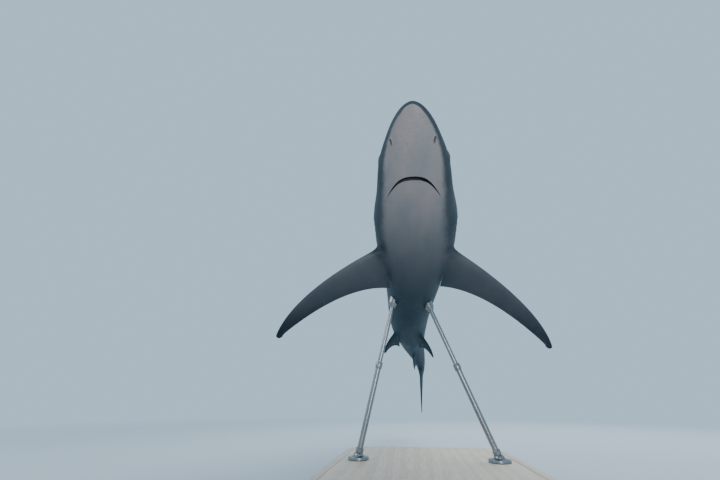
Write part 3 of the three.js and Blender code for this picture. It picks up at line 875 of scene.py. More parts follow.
def lid_polar(side, angle):
    """How far from its axis, in radians, the eyeball sinks under the skin in one direction."""
    centre, axis, opening = eye_frame(side)
    back, up = eye_ways(side)
    turn = math.radians(angle)
    outwards = back * math.cos(turn) + up * math.sin(turn)
    low, high = math.radians(10), math.radians(70)
    for _ in range(14):
        polar = (low + high) / 2
        place = centre + (axis * math.cos(polar) + outwards * math.sin(polar)) * EYE_RADIUS
        spine = spine_at(place_along(place, EYE_AT))[0]
        proud = (place - spine).length - (on_skin(place, EYE_AT, 0) - spine).length
        low, high = (polar, high) if proud > LID_OVERLAP else (low, polar)
    return polar


def make_socket(piece, side):
    """Opens one eye socket, with a rim that rolls over the edge of the eyeball."""
    centre, axis, opening = eye_frame(side)
    back, up = eye_ways(side)
    rows = (30, 31, 0, 1, 2) if side > 0 else (17, 16, 15, 14, 13)
    select_faces(piece, range(EYE_RING, EYE_RING + 5), rows)

    def over_skin(beyond, grow):
        def move(vertex, whole, real):
            share, angle = disc_place(vertex, whole, side)
            turn = math.radians(angle)
            radius = EYE_RADIUS * math.sin(lid_polar(side, angle)) + beyond
            flat = (back * math.cos(turn) + up * math.sin(turn)) * radius * share
            vertex.co = on_skin(opening + flat, EYE_AT, grow)
            note_place(vertex, real, EYE_AT)
        return move

    def over_ball(polar_at, spread, dark):
        def move(vertex, whole, real):
            share, angle = disc_place(vertex, whole, side)
            turn = math.radians(angle)
            polar = math.pi - (math.pi - polar_at(angle)) * share
            across = (back * math.cos(turn) + up * math.sin(turn)) * math.sin(polar)
            vertex.co = centre + (axis * math.cos(polar) + across) * EYE_RADIUS * spread
            vertex[real["lining_shade"]] = dark
        return move

    inset_faces(piece, over_skin(0.0060, 0.0003))
    extrude_faces(piece, over_skin(0.0034, 0.0009))
    extrude_faces(piece, over_skin(0.0014, 0.0012))
    # Painted shade: the lid's inner edge is a little darker, the socket behind the ball fully dark.
    extrude_faces(piece, over_ball(lambda angle: lid_polar(side, angle), 1.022, 0.2))
    for degrees in SOCKET_ANGLES:
        extrude_faces(piece, over_ball(lambda angle: math.radians(degrees), SOCKET_SPREAD, 1))


for side in (1, -1):
    make_socket(skin, side)
eye_half = EYE_RADIUS * math.sin(lid_polar(1, 0))
print("each eye's opening is", round(2000 * eye_half), "mm long")


# %% The mouth
def lip_point(vertex, whole, ring_front):
    """The point where this lip starts and the middle of the opening beside it."""
    row = vertex[whole["row"]]
    ends = [skin_point(cage_place(ring, row), cage_rise(ring, row))
            for ring in (ring_front, ring_front + 1)]
    return ends[vertex[whole["ring"]] - ring_front], (ends[0] + ends[1]) / 2


JAW_SHADE_SHARE = 0.6  # painted shade: the lower jaw's inner side gets less of it than the roof under the upper lip


def mouth_level(depth, spread, narrow=1.0, back=0.0, dark=1.0):
    """One level of the mouth: how deep, how far open, how narrow and how far back it lies."""
    def move(vertex, whole, real):
        lip, middle = lip_point(vertex, whole, MOUTH_RING)
        at = place_along(middle, 10)
        point, behind, side, up = spine_at(at)
        place = middle + (lip - middle) * spread
        across = (place - point).dot(side)
        vertex.co = place + side * across * (narrow - 1) + up * depth + behind * back
        on_jaw = vertex[whole["ring"]] > MOUTH_RING
        vertex[real["lining_shade"]] = dark * (JAW_SHADE_SHARE if on_jaw else 1)
    return move


MOUTH_ROWS = range(20, 28)
select_faces(skin, (MOUTH_RING, MOUTH_RING + 1), MOUTH_ROWS)
# Each deeper level of the mouth takes more painted shade.
inset_faces(skin, mouth_level(-0.0006, 0.86, 0.995, dark=0.0))
extrude_faces(skin, mouth_level(0.0012, 0.72, 0.99, dark=0.3))
extrude_faces(skin, mouth_level(0.006, 0.8, 0.98, back=0.001))
extrude_faces(skin, mouth_level(0.018, 1.6, 0.9, back=0.006))
extrude_faces(skin, mouth_level(0.036, 2.4, 0.7, back=0.016))
print("the mouth is open by", round(1000 * PC * (MOUTH_LIPS[1] - MOUTH_LIPS[0])), "mm")


# %% The gill slits
def slit_level(ring_front, depth, width, forwards, dark):
    """One level of a gill slit: how deep, how wide against the strip, how far under its flap."""
    def move(vertex, whole, real):
        lip, middle = lip_point(vertex, whole, ring_front)
        at = place_along(middle, 20)
        point, behind, side, up = spine_at(at)
        inwards = point - middle
        inwards = (inwards - behind * inwards.dot(behind)).normalized()
        place = middle + (lip - middle) * width
        vertex.co = place + inwards * depth - behind * forwards
        vertex[real["lining_shade"]] = dark
    return move


def make_slit(piece, number, side):
    """Opens one gill slit on one flank."""
    ring = GILL_RINGS[1 + 3 * number]
    rows = [29, 30, 31, 0, 1] if number < LONG_GILLS else [30, 31, 0, 1]
    rows = rows if side > 0 else [mirrored_row(row) for row in rows]
    select_faces(piece, (ring, ring + 1), rows)
    # Painted shade: each deeper level of the slit is darker.
    inset_faces(piece, slit_level(ring, 0.0004, 0.7, 0, 0.15), 0.0002)
    extrude_faces(piece, slit_level(ring, 0.0022, 0.45, 0.0010, 0.8))
    extrude_faces(piece, slit_level(ring, 0.0075, 0.4, 0.0050, 1))
    extrude_faces(piece, slit_level(ring, 0.0120, 0.3, 0.0085, 1))


for number in range(len(GILL_PLACES)):
    for side in (1, -1):
        make_slit(skin, number, side)
print("each flank has", len(GILL_PLACES), "gill slits")

# %% The nostrils
NOSTRIL_AT, NOSTRIL_RISE = 4.6, -42
NOSTRIL_LONG, NOSTRIL_WIDE = 0.0105, 0.0036  # half sizes of the opening
NOSTRIL_TURN = 32  # degrees that the slit's front end swings outwards


def nostril_level(side, longer, wider, grow, dark):
    """One level of a nostril, as an oval of four points on the skin or under it."""
    def move(vertex, whole, real):
        rise = NOSTRIL_RISE if side > 0 else 180 - NOSTRIL_RISE
        centre = skin_point(NOSTRIL_AT, rise)
        back = spine_at(NOSTRIL_AT)[1]
        outwards = (skin_point(NOSTRIL_AT, rise + 8 * side) - centre).normalized()
        turn = math.radians(NOSTRIL_TURN)
        long_way = back * math.cos(turn) - outwards * math.sin(turn)
        wide_way = outwards * math.cos(turn) + back * math.sin(turn)
        behind = 1 if vertex[whole["ring"]] > NOSTRIL_RING else -1
        above = 1 if vertex[whole["row"]] in (28, 19) else -1
        place = centre + long_way * behind * NOSTRIL_LONG * longer
        place += wide_way * above * NOSTRIL_WIDE * wider
        vertex.co = on_skin(place, NOSTRIL_AT, grow)
        note_place(vertex, real, NOSTRIL_AT)
        vertex[real["lining_shade"]] = dark
    return move


for side, rows in [(1, (27, 28)), (-1, (20, 19))]:
    select_faces(skin, (NOSTRIL_RING, NOSTRIL_RING + 1), rows)
    # Painted shade: the nostril darkens as it goes deeper.
    inset_faces(skin, nostril_level(side, 1.3, 2.2, 0.0, 0))
    inset_faces(skin, nostril_level(side, 1.15, 1.3, 0.0009, 0))
    extrude_faces(skin, nostril_level(side, 1, 0.9, -0.0022, 0.8))
    extrude_faces(skin, nostril_level(side, 0.95, 0.9, -0.0060, 1))
    extrude_faces(skin, nostril_level(side, 0.7, 0.8, -0.0110, 1))
print("the cage now has", len(bmesh.from_edit_mesh(skin.data).faces), "faces")

# %% [markdown]
# ## From cage to skin
#
# The Subdivision Surface modifier rounds the cage, and is then applied so that the smallest forms
# can be pressed into the real points of the skin: the low ridge along the back, the pits at the
# root of the tail, the brow over the eye, the folds at the corners of the mouth.

# %% Round the cage
def apply_modifiers(piece):
    """Applies all the modifiers of a piece, in their order."""
    bpy.ops.object.select_all(action="DESELECT")
    bpy.context.view_layer.objects.active = piece
    piece.select_set(True)
    for modifier in list(piece.modifiers):
        bpy.ops.object.modifier_apply(modifier=modifier.name)


def add_rounding(piece, levels):
    """Gives a piece a Subdivision Surface, with as many levels in view as in the render."""
    rounding = piece.modifiers.new("rounding", "SUBSURF")
    rounding.levels = rounding.render_levels = levels


bpy.ops.mesh.select_all(action="SELECT")
bpy.ops.mesh.normals_make_consistent(inside=False)
bpy.ops.object.mode_set(mode="OBJECT")
add_rounding(skin, 2)
apply_modifiers(skin)
print("the skin has", 2 * len(skin.data.polygons), "triangles")


# %% Read what the cage knew about every point
def read_values(piece, name, width=1):
    """One of the mesh's own values for each point, as an array."""
    count = len(piece.data.vertices)
    values = np.zeros(count * width, np.float32)
    if name in ("co", "normal"):
        piece.data.vertices.foreach_get(name, values)
    else:
        piece.data.attributes[name].data.foreach_get("value", values)
    return values.reshape(count, width) if width > 1 else values


def write_values(piece, name, values):
    """Keeps one number for each point of the mesh, for its material to read."""
    if name in piece.data.attributes:
        piece.data.attributes.remove(piece.data.attributes[name])
    layer = piece.data.attributes.new(name, "FLOAT", "POINT")
    layer.data.foreach_set("value", values.astype(np.float32))


def hump(values, middle, reach):
    """A smooth hump, 1 at the middle and fading to nothing about two reaches away."""
    return np.exp(-((values - middle) / reach) ** 2)


def ramp(values, start, end):
    """A smooth step from 0 at start to 1 at end."""
    t = np.clip((values - start) / (end - start), 0, 1)
    return t * t * (3 - 2 * t)


along = read_values(skin, "along")
turn_c, turn_s = read_values(skin, "turn_c"), read_values(skin, "turn_s")
fin_out, lining_shade = read_values(skin, "fin_out"), read_values(skin, "lining_shade")
rise = np.degrees(np.arctan2(turn_s, np.abs(turn_c)))
on_body = (fin_out < 0.01) & (lining_shade < 0.05)


# %% Press the small forms into the skin
def near_line(start, end):
    """How far each point is from a short line over the skin, in hundredths of the length."""
    per_degree = 0.052  # one degree around the head, in hundredths of the length
    here = np.stack([along, rise * per_degree], 1)
    a = np.array([start[0], start[1] * per_degree])
    b = np.array([end[0], end[1] * per_degree])
    t = np.clip(((here - a) @ (b - a)) / ((b - a) @ (b - a)), 0, 1)
    return np.linalg.norm(here - a - t[:, None] * (b - a), axis=1)


normals = read_values(skin, "normal", 3)
places = read_values(skin, "co", 3)
press = 0.0013 * ramp(along, 40, 44) * ramp(along, 63, 59) * hump(rise, 90, 5)  # back ridge
press -= 0.0042 * hump(along, 72.7, 0.42) * ramp(rise, 52, 74)  # pit above the tail's root
press -= 0.0028 * hump(along, 70.9, 0.4) * ramp(rise, -52, -74)  # pit below it
press += 0.0022 * hump(along, 8.0, 1.3) * hump(rise, 36, 9)  # brow
press -= 0.0010 * hump(along, 7.9, 1.2) * hump(rise, -18, 7)  # hollow under the eye
press += 0.0026 * hump(along, 13.8, 1.5) * hump(rise, -36, 14)  # jaw muscle
press -= 0.0011 * hump(near_line((12.0, -49.5), (11.0, -45)), 0, 0.2)  # fold of the lips
press -= 0.0008 * hump(near_line((12.5, -53), (13.1, -57)), 0, 0.25)
press += 0.0012 * ramp(along, 9.4, 10.2) * ramp(along, 13, 11) * ramp(rise, -70, -84)  # chin
places += normals * (press * on_body)[:, None]
skin.data.vertices.foreach_set("co", places.ravel())
skin.data.update()
print("the small forms move the skin by up to", round(1000 * float(abs(press).max()), 1), "mm")

# %% [markdown]
# ## The colours of the skin, point by point
#
# A silky shark is countershaded: bronze to slate grey above, nearly white below, with dusky tips
# under the paired fins. The border between the two is soft and ragged. It runs low and wide along
# the head and flank, which also paints the shade on the sides of the head. The belly is painted
# grey rather than white, and a dark blue towards the tail: painted shade of the underside. Where
# each point lies in this scheme is worked out once from its place along and around the body, and
# kept in the mesh for the material to read.

# %% Where the dark back ends and the pale belly begins
# Place along the body, rise of the border, and how soft the border is, in degrees. Set low and soft,
# the border also paints shade on the sides of the head.
BORDER = [
    (0, -112, 10), (0.15, -108, 10), (0.3, -62, 14), (0.5, -50, 14), (0.8, -44, 13),
    (1.6, -36, 12), (3, -31, 11), (5, -31, 11), (9, -41, 17), (15, -47, 20), (22, -47, 20),
    (30, -42, 20), (40, -38, 20), (50, -40, 20), (60, -46, 20), (70, -54, 18), (76, -62, 14),
    (84, -75, 12), (100, -82, 10),
]
# Place, then how far the belly's colour has gone over to a dark blue towards the tail: painted
# shade.
REAR_SHADE = [
    (0, 0), (7, 0.02), (14, 0.24), (21, 0.57), (26, 0.77), (32, 0.91), (40, 0.97), (60, 1),
    (100, 1),
]
LINING_SHADE_BY_PLACE = [(13, 0.55), (15, 1)]  # painted shade inside the openings: weaker in the mouth, nostrils and eyes than in the gills
LATERAL_LINE = [(12, 30), (20, 25), (45, 16), (62, 8), (74, 4)]  # place, rise


def by_place(rows, column=1):
    """One column of a table, read off at every point's place along the body."""
    return np.interp(along, [row[0] for row in rows], [row[column] for row in rows])


border_rise, border_soft = by_place(BORDER, 1), by_place(BORDER, 2)
pale_body = ramp(rise, border_rise + border_soft, border_rise - border_soft)
fin_pale = read_values(skin, "fin_pale")
pale = pale_body + (fin_pale - pale_body) * ramp(fin_out, 0.0, 0.10)
write_values(skin, "pale", pale)
write_values(skin, "dusk", 0.5 * ramp(fin_out, 0.1, 1.0) + 0.5 * ramp(fin_out, 0.6, 1.0))
# The "rear" values carry painted shade: how far the belly darkens towards the tail.
write_values(skin, "rear", by_place(REAR_SHADE))
# The "inside" values are painted shade that darkens the openings the deeper they go.
write_values(skin, "inside", lining_shade * by_place(LINING_SHADE_BY_PLACE))
under_snout = ramp(along, 0.6, 1.3) * ramp(along, 8.6, 6.6) * ramp(rise, -8, -20)
on_cheeks = ramp(along, 6, 7.5) * ramp(along, 11.5, 9.5) * hump(rise, -22, 16)
on_top = ramp(along, 1, 2) * ramp(along, 8, 5) * hump(rise, 48, 14)
pored = np.maximum(np.maximum(under_snout, on_cheeks), on_top)
write_values(skin, "pored", pored * on_body)
off_line = (rise - by_place(LATERAL_LINE)) * math.radians(1) * 1000 * PC * by_place(SECTIONS)
write_values(skin, "off_line", off_line)  # in millimetres over the skin
write_values(skin, "lined", ramp(along, 12, 20) * ramp(along, 72, 66) * on_body)
skin.data.transform(SHARK)
bpy.ops.object.shade_smooth()
print("about", round(100 * float((pale > 0.5).mean())), "percent of the points are pale")

# %% [markdown]
# ## The skin's material
#
# Shark skin is matt and close grained: millions of tiny tooth-like scales break up the light. The
# colours come from pigment and from painted shade, which darkens the belly towards the tail and
# the insides of the openings. They are mixed from the values kept in the mesh, with noise to make
# the border ragged and the back mottled. Three sizes of bump sit on top: the scales, soft wrinkles,
# and the pores that every shark has under its snout.

# %% Helpers that build a material
def new_material(name, roughness, metallic=0.0):
    """A material with one Principled shader, and that shader."""
    material = bpy.data.materials.new(name)
    material.use_nodes = True
    shader = material.node_tree.nodes["Principled BSDF"]
    shader.inputs["Roughness"].default_value = roughness
    shader.inputs["Metallic"].default_value = metallic
    return material, shader


def feed(material, socket, value):
    """Links a socket's input to another socket, or sets it to a plain value."""
    if isinstance(value, bpy.types.NodeSocket):
        material.node_tree.links.new(value, socket)
    else:
        socket.default_value = value


def add_node(material, kind, inputs, **settings):
    """Adds a shader node, sets its options, fills its inputs and returns it."""
    node = material.node_tree.nodes.new("ShaderNode" + kind)
    for option, value in settings.items():
        setattr(node, option, value)
    for key, value in inputs.items():
        feed(material, node.inputs[key], value)
    return node


def object_place(material):
    """Where a point lies on the object, in metres."""
    return add_node(material, "TexCoord", {}).outputs["Object"]


def stretched(material, scale, turn=(0, 0, 0)):
    """The same place, turned and stretched for patterns that run one way."""
    turn = tuple(math.radians(angle) for angle in turn)
    inputs = {"Vector": object_place(material), "Scale": scale, "Rotation": turn}
    return add_node(material, "Mapping", inputs).outputs["Vector"]


def noise(material, scale, detail=3.0, roughness=0.5, where=None):
    """Soft noise between 0 and 1."""
    inputs = {
        "Vector": where or object_place(material), "Scale": scale, "Detail": detail,
        "Roughness": roughness,
    }
    return add_node(material, "TexNoise", inputs).outputs["Fac"]


def kept_value(material, name):
    """A value kept for each point of the mesh."""
    return add_node(material, "Attribute", {}, attribute_name=name).outputs["Fac"]


def math_node(material, operation, a, b=0.0, c=0.0):
    """One sum of up to three values."""
    return add_node(material, "Math", {0: a, 1: b, 2: c}, operation=operation).outputs[0]


def remap(material, value, start, end, low=0.0, high=1.0):
    """A smooth step from low at start to high at end."""
    inputs = {"Value": value, "From Min": start, "From Max": end, "To Min": low, "To Max": high}
    return add_node(
        material, "MapRange", inputs, interpolation_type="SMOOTHSTEP").outputs["Result"]


def mix_colours(material, share, a, b):
    """Colour a where the share is 0, colour b where it is 1."""
    a = a if isinstance(a, bpy.types.NodeSocket) else (*a, 1)
    b = b if isinstance(b, bpy.types.NodeSocket) else (*b, 1)
    return add_node(material, "Mix", {0: share, 6: a, 7: b}, data_type="RGBA").outputs[2]


def bump(material, height, distance, strength=1.0, under=None):
    """Bump of a given height in metres, on top of another bump if there is one."""
    inputs = {"Height": height, "Distance": distance, "Strength": strength}
    if under is not None:
        inputs["Normal"] = under
    return add_node(material, "Bump", inputs).outputs["Normal"]


# %% The colours of the skin
BACK_DARK, BACK_LIGHT = (0.014, 0.025, 0.033), (0.036, 0.050, 0.060)
BACK_GRAIN = (0.062, 0.075, 0.085)
# The belly's grey, darker than a live shark's near white, is painted shade; its two tones vary at
# random.
BELLY_COOL, BELLY_WARM = (0.150, 0.160, 0.168), (0.196, 0.184, 0.186)
BELLY_GRAIN = (0.09, 0.11, 0.13)
# The dark blue that the belly takes towards the tail is painted shade of the underside.
REAR_BELLY_SHADE = (0.007, 0.029, 0.046)
DUSKY = (0.004, 0.016, 0.027)
PORE_DARK = (0.05, 0.06, 0.07)
LINE_PALE = (0.10, 0.12, 0.14)
# The colour of the painted shade inside the mouth, gills, nostrils and eye sockets.
INSIDE_SHADE = (0.020, 0.023, 0.026)


def times(material, a, b):
    """One value times another."""
    return math_node(material, "MULTIPLY", a, b)


def roughened(material, value, pattern, amount):
    """A value that a pattern of noise pushes up and down by half the amount."""
    offset = math_node(material, "SUBTRACT", pattern, 0.5)
    return math_node(material, "MULTIPLY_ADD", offset, amount, value)


def countershading(material, blotches, speckle, streaks):
    """The dark back, the pale belly and the ragged border between them, with dusky fin tips, and
    painted shade that darkens the belly towards the tail.
    """
    grain = noise(material, 420, 2, 0.5)
    back = mix_colours(material, remap(material, blotches, 0.3, 0.7), BACK_DARK, BACK_LIGHT)
    back = mix_colours(material, remap(material, grain, 0.35, 0.75, 0, 0.35), back, BACK_GRAIN)
    belly = mix_colours(material, remap(material, streaks, 0.3, 0.7), BELLY_COOL, BELLY_WARM)
    # Painted shade: the belly goes over to a dark blue towards the tail.
    belly = mix_colours(material, kept_value(material, "rear"), belly, REAR_BELLY_SHADE)
    belly = mix_colours(
        material, remap(material, speckle, 0.55, 0.75, 0, 0.22), belly, BELLY_GRAIN)
    pale = roughened(material, kept_value(material, "pale"), streaks, 0.55)
    pale = roughened(material, pale, speckle, 0.35)
    colour = mix_colours(material, remap(material, pale, 0.12, 0.88), back, belly)
    return mix_colours(material, times(material, kept_value(material, "dusk"), 0.9), colour, DUSKY)


print("the back's colour runs from", BACK_DARK, "to", BACK_LIGHT)


# %% The small marks of the skin
def snout_pores(material):
    """Scattered dark dots, only where the mesh says that there are any."""
    cells = add_node(material, "TexVoronoi", {"Vector": object_place(material), "Scale": 150})
    dots = remap(material, cells.outputs["Distance"], 0.10, 0.2, 1, 0)
    some = remap(material, noise(material, 34, 1), 0.47, 0.53)
    return times(material, times(material, dots, some), kept_value(material, "pored"))


def lateral_line(material, speckle):
    """The thin groove of pores along each flank."""
    off_line = math_node(material, "ABSOLUTE", kept_value(material, "off_line"))
    line = times(material, remap(material, off_line, 0.4, 1.5, 1, 0), kept_value(material, "lined"))
    return times(material, line, remap(material, speckle, 0.35, 0.55, 0.35, 1))


def fin_rays(material):
    """Fine ribs that run out along the fins, and fade where the fins join the body."""
    ribs = math_node(material, "SINE", times(material, kept_value(material, "ray"), 260))
    return times(material, ribs, remap(material, kept_value(material, "fin_out"), 0.12, 0.3))


# %% The skin's material
def make_skin_material():
    """Countershaded skin with dusky fin tips, scales, wrinkles and pores."""
    material, shader = new_material("shark_skin", 0.5)
    blotches = noise(material, 5.5, 5, 0.55)
    speckle = noise(material, 60, 4, 0.6)
    streaks = noise(material, 9, 5, 0.6, stretched(material, (1.6, 0.35, 1.6), (22, 0, 0)))
    pores = snout_pores(material)
    line = lateral_line(material, speckle)

    colour = countershading(material, blotches, speckle, streaks)
    colour = mix_colours(material, times(material, pores, 0.75), colour, PORE_DARK)
    colour = mix_colours(material, times(material, line, 0.2), colour, LINE_PALE)
    # Painted shade inside the openings.
    colour = mix_colours(material, kept_value(material, "inside"), colour, INSIDE_SHADE)
    feed(material, shader.inputs["Base Color"], colour)
    feed(material, shader.inputs["Roughness"], remap(material, blotches, 0.25, 0.75, 0.42, 0.56))
    shader.inputs["Specular IOR Level"].default_value = 0.12

    scales = add_node(material, "TexVoronoi", {"Vector": object_place(material), "Scale": 700})
    relief = bump(material, streaks, 0.003, 0.3)
    relief = bump(material, speckle, 0.0006, 0.35, relief)
    relief = bump(material, fin_rays(material), 0.00012, 0.4, relief)
    relief = bump(material, math_node(material, "SUBTRACT", 1.0, pores), 0.0008, 0.8, relief)
    relief = bump(material, math_node(material, "SUBTRACT", 1.0, line), 0.0007, 0.6, relief)
    relief = bump(material, scales.outputs["Distance"], 0.0003, 0.35, relief)
    feed(material, shader.inputs["Normal"], relief)
    return material


skin.data.materials.append(make_skin_material())
print("the skin's material has", len(skin.data.materials[0].node_tree.nodes), "nodes")

# %% [markdown]
# ## The eyes
#
# The eye of a silky shark is large and round, with an upright oval pupil in a dark bronze iris. On
# a model it is a glass ball. A sphere is added at the ball's place, its front is drawn out a little
# as the clear cornea, and each point remembers how far it lies from the line of sight.

# %% Glass eyes
def make_eye_material():
    """Black pupil, bronze iris with fine rays and a dark rim, under a clear coat."""
    material, shader = new_material("shark_eye", 0.25)
    away = kept_value(material, "away")
    pupil = kept_value(material, "pupil")
    fibres = noise(material, 260, 4, 0.65)
    iris = mix_colours(material, fibres, (0.012, 0.012, 0.009), (0.060, 0.053, 0.031))
    iris = mix_colours(material, remap(material, away, 18, 30), iris, (0.012, 0.014, 0.015))
    ring = remap(material, math_node(
        material, "ABSOLUTE", math_node(material, "SUBTRACT", pupil, 1.0)), 0.05, 0.22, 1, 0)
    iris = mix_colours(material, times(material, ring, 0.5), iris, (0.075, 0.068, 0.042))
    dark = remap(material, pupil, 0.92, 1.02, 1, 0)
    colour = mix_colours(material, dark, iris, (0.002, 0.002, 0.003))
    feed(material, shader.inputs["Base Color"], colour)
    shader.inputs["Specular IOR Level"].default_value = 0.2
    shader.inputs["Coat Weight"].default_value = 0.4
    shader.inputs["Coat Roughness"].default_value = 0.03
    return material


eye_material = make_eye_material()
PUPIL_WIDE, PUPIL_TALL = 13, 18.5  # degrees from the line of sight
CORNEA_EDGE = 24  # degrees from the line of sight
CORNEA_STRETCH = (1.04, 1.04, 1.012)


def make_eye(name, side):
    """One eyeball in its socket, looking out and a little forwards."""
    centre, axis, opening = eye_frame(side)
    back, up = eye_ways(side)
    bpy.ops.object.select_all(action="DESELECT")
    bpy.ops.mesh.primitive_uv_sphere_add(segments=64, ring_count=48, radius=EYE_RADIUS)
    ball = start_edit("glass_eye_" + name)
    mesh = bmesh.from_edit_mesh(ball.data)
    for vertex in mesh.verts:
        vertex.select_set(vertex.co.z > EYE_RADIUS * math.cos(math.radians(CORNEA_EDGE)))
    mesh.select_flush(True)
    bmesh.update_edit_mesh(ball.data)
    bpy.ops.transform.resize(value=CORNEA_STRETCH)
    bpy.ops.object.mode_set(mode="OBJECT")
    turned = Matrix((back, axis.cross(back), axis)).transposed()
    ball.data.transform(Matrix.Translation(centre) @ turned.to_4x4())
    here = read_values(ball, "co", 3) - np.array(centre)
    ahead = np.clip(here @ np.array(axis) / np.linalg.norm(here, axis=1), -1, 1)
    write_values(ball, "away", np.degrees(np.arccos(ahead)))
    across = np.degrees(np.arctan2(here @ np.array(back), here @ np.array(axis)))
    tall = np.degrees(np.arctan2(here @ np.array(up), here @ np.array(axis)))
    write_values(ball, "pupil", np.hypot(across / PUPIL_WIDE, tall / PUPIL_TALL))
    ball.data.transform(SHARK)
    bpy.ops.object.shade_smooth()
    ball.data.materials.append(eye_material)
    return ball


eyes = {name: make_eye(name, side) for name, side in [("left", 1), ("right", -1)]}
print("each glass eye is", round(2000 * EYE_RADIUS), "mm across")

# %% [markdown]
# ## The display stand
#
# The stand is plain: an oak board with rounded corners, and two steel legs. A joiner cuts the board
# and eases its edges, so it is modelled from a cube whose upright edges are bevelled widely and
# whose long edges are bevelled finely. Feet, rods and cups are turned on a lathe. Each one is a
# circle that is extruded along its axis and resized at every step, which is how a lathe hand reads
# a profile. Each cup's rim is then laid against the skin of the belly, as a saddler fits a pad.

# %% The board
def ease_edges(piece, chosen, width, segments):
    """Bevels the edges that chosen(edge) picks, in edit mode."""
    bpy.ops.mesh.select_all(action="DESELECT")
    bpy.ops.mesh.select_mode(type="EDGE")
    mesh = bmesh.from_edit_mesh(piece.data)
    for edge in mesh.edges:
        if chosen(edge):
            edge.select_set(True)
    bmesh.update_edit_mesh(piece.data)
    bpy.ops.mesh.bevel(offset=width, segments=segments, affect="EDGES")


BOARD_LOW, BOARD_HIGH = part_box("stand_base")
BOARD_CORNER, BOARD_EDGE = 0.12, 0.003  # radii of the upright and of the long edges
GROOVE_IN, GROOVE_WIDE, GROOVE_DEEP = 0.022, 0.003, 0.0014


def is_upright(edge):
    """Tells the four upright edges of the board."""
    return abs(edge.verts[0].co.z - edge.verts[1].co.z) > 0.01


def is_level(edge):
    """Tells the edges around the board's top and underside."""
    return abs(edge.verts[0].co.z - edge.verts[1].co.z) < 0.0001


def make_board():
    """The board, with a fine groove near its edge."""
    low, high = Vector(BOARD_LOW), Vector(BOARD_HIGH)
    bpy.ops.object.select_all(action="DESELECT")
    bpy.ops.mesh.primitive_cube_add(size=1, location=(low + high) / 2)
    board = bpy.context.object
    bpy.ops.transform.resize(value=high - low)
    bpy.ops.object.transform_apply(location=True, rotation=True, scale=True)
    start_edit("oak_board")
    ease_edges(board, is_upright, BOARD_CORNER, 12)
    ease_edges(board, is_level, BOARD_EDGE, 3)
    bpy.ops.mesh.select_mode(type="FACE")
    bpy.ops.mesh.select_all(action="DESELECT")
    mesh = bmesh.from_edit_mesh(board.data)
    for face in mesh.faces:
        if face.normal.z > 0.999 and face.calc_area() > 0.1:
            face.select_set(True)
    bmesh.update_edit_mesh(board.data)
    bpy.ops.mesh.inset(thickness=GROOVE_IN)
    bpy.ops.mesh.inset(thickness=GROOVE_WIDE)
    mesh = bmesh.from_edit_mesh(board.data)
    inner = next(face for face in mesh.faces if face.select)
    rim = set(inner.edges)
    band = [face for face in mesh.faces
            if not face.select and any(edge in rim for edge in face.edges)]
    inner.select_set(False)
    for face in band:
        face.select_set(True)
    bmesh.update_edit_mesh(board.data)
    bpy.ops.mesh.extrude_region_move(TRANSFORM_OT_translate={"value": (0, 0, -GROOVE_DEEP)})
    bpy.ops.object.mode_set(mode="OBJECT")
    bpy.ops.object.shade_smooth_by_angle(angle=math.radians(35))
    return board


board = make_board()
print("the board is", [round(v, 3) for v in board.dimensions])


# %% Turned steel
LATHE_SIDES = 48


def turn_on_lathe(name, start, way, profile):
    """A turned piece from start along way; profile lists how far along and the radius there."""
    way = way.normalized()
    bpy.ops.object.select_all(action="DESELECT")
    bpy.ops.mesh.primitive_circle_add(
        vertices=LATHE_SIDES, radius=profile[0][1], fill_type="TRIFAN",
        location=start + way * profile[0][0], rotation=way.to_track_quat("Z", "Y").to_euler())
    bpy.ops.object.transform_apply(location=True, rotation=True, scale=True)
    piece = start_edit(name)
    bpy.ops.mesh.select_all(action="SELECT")
    for (_, wide_before), (far, wide) in zip(profile, profile[1:]):
        bpy.ops.mesh.extrude_region_move()
        mesh = bmesh.from_edit_mesh(piece.data)
        for vertex in mesh.verts:
            if vertex.select:
                here = start + way * (vertex.co - start).dot(way)
                vertex.co = start + way * far + (vertex.co - here) * (wide / wide_before)
        bmesh.update_edit_mesh(piece.data)
    bpy.ops.mesh.select_all(action="SELECT")
    bpy.ops.mesh.normals_make_consistent(inside=False)
    bpy.ops.object.mode_set(mode="OBJECT")
    bpy.ops.object.shade_smooth_by_angle(angle=math.radians(30))
    return piece


FOOT_RADIUS, CUP_RADIUS, CUP_LENGTH = 0.036, 0.019, 0.026
FOOT_OUT = 0.235  # how far each foot stands from the middle of the board
CUP_AT, CUP_RISE = 35.5, -52  # where the cups meet the skin
COLLAR_SHARE = 0.52  # share of the leg's length at which the rod's collar sits
GAP = 0.0004  # metres between a cup and the skin
RAY_START = 0.08  # how far under the cup's rim the search for the skin starts
UPWARDS = Vector((0, 0, 1))
legs = {}


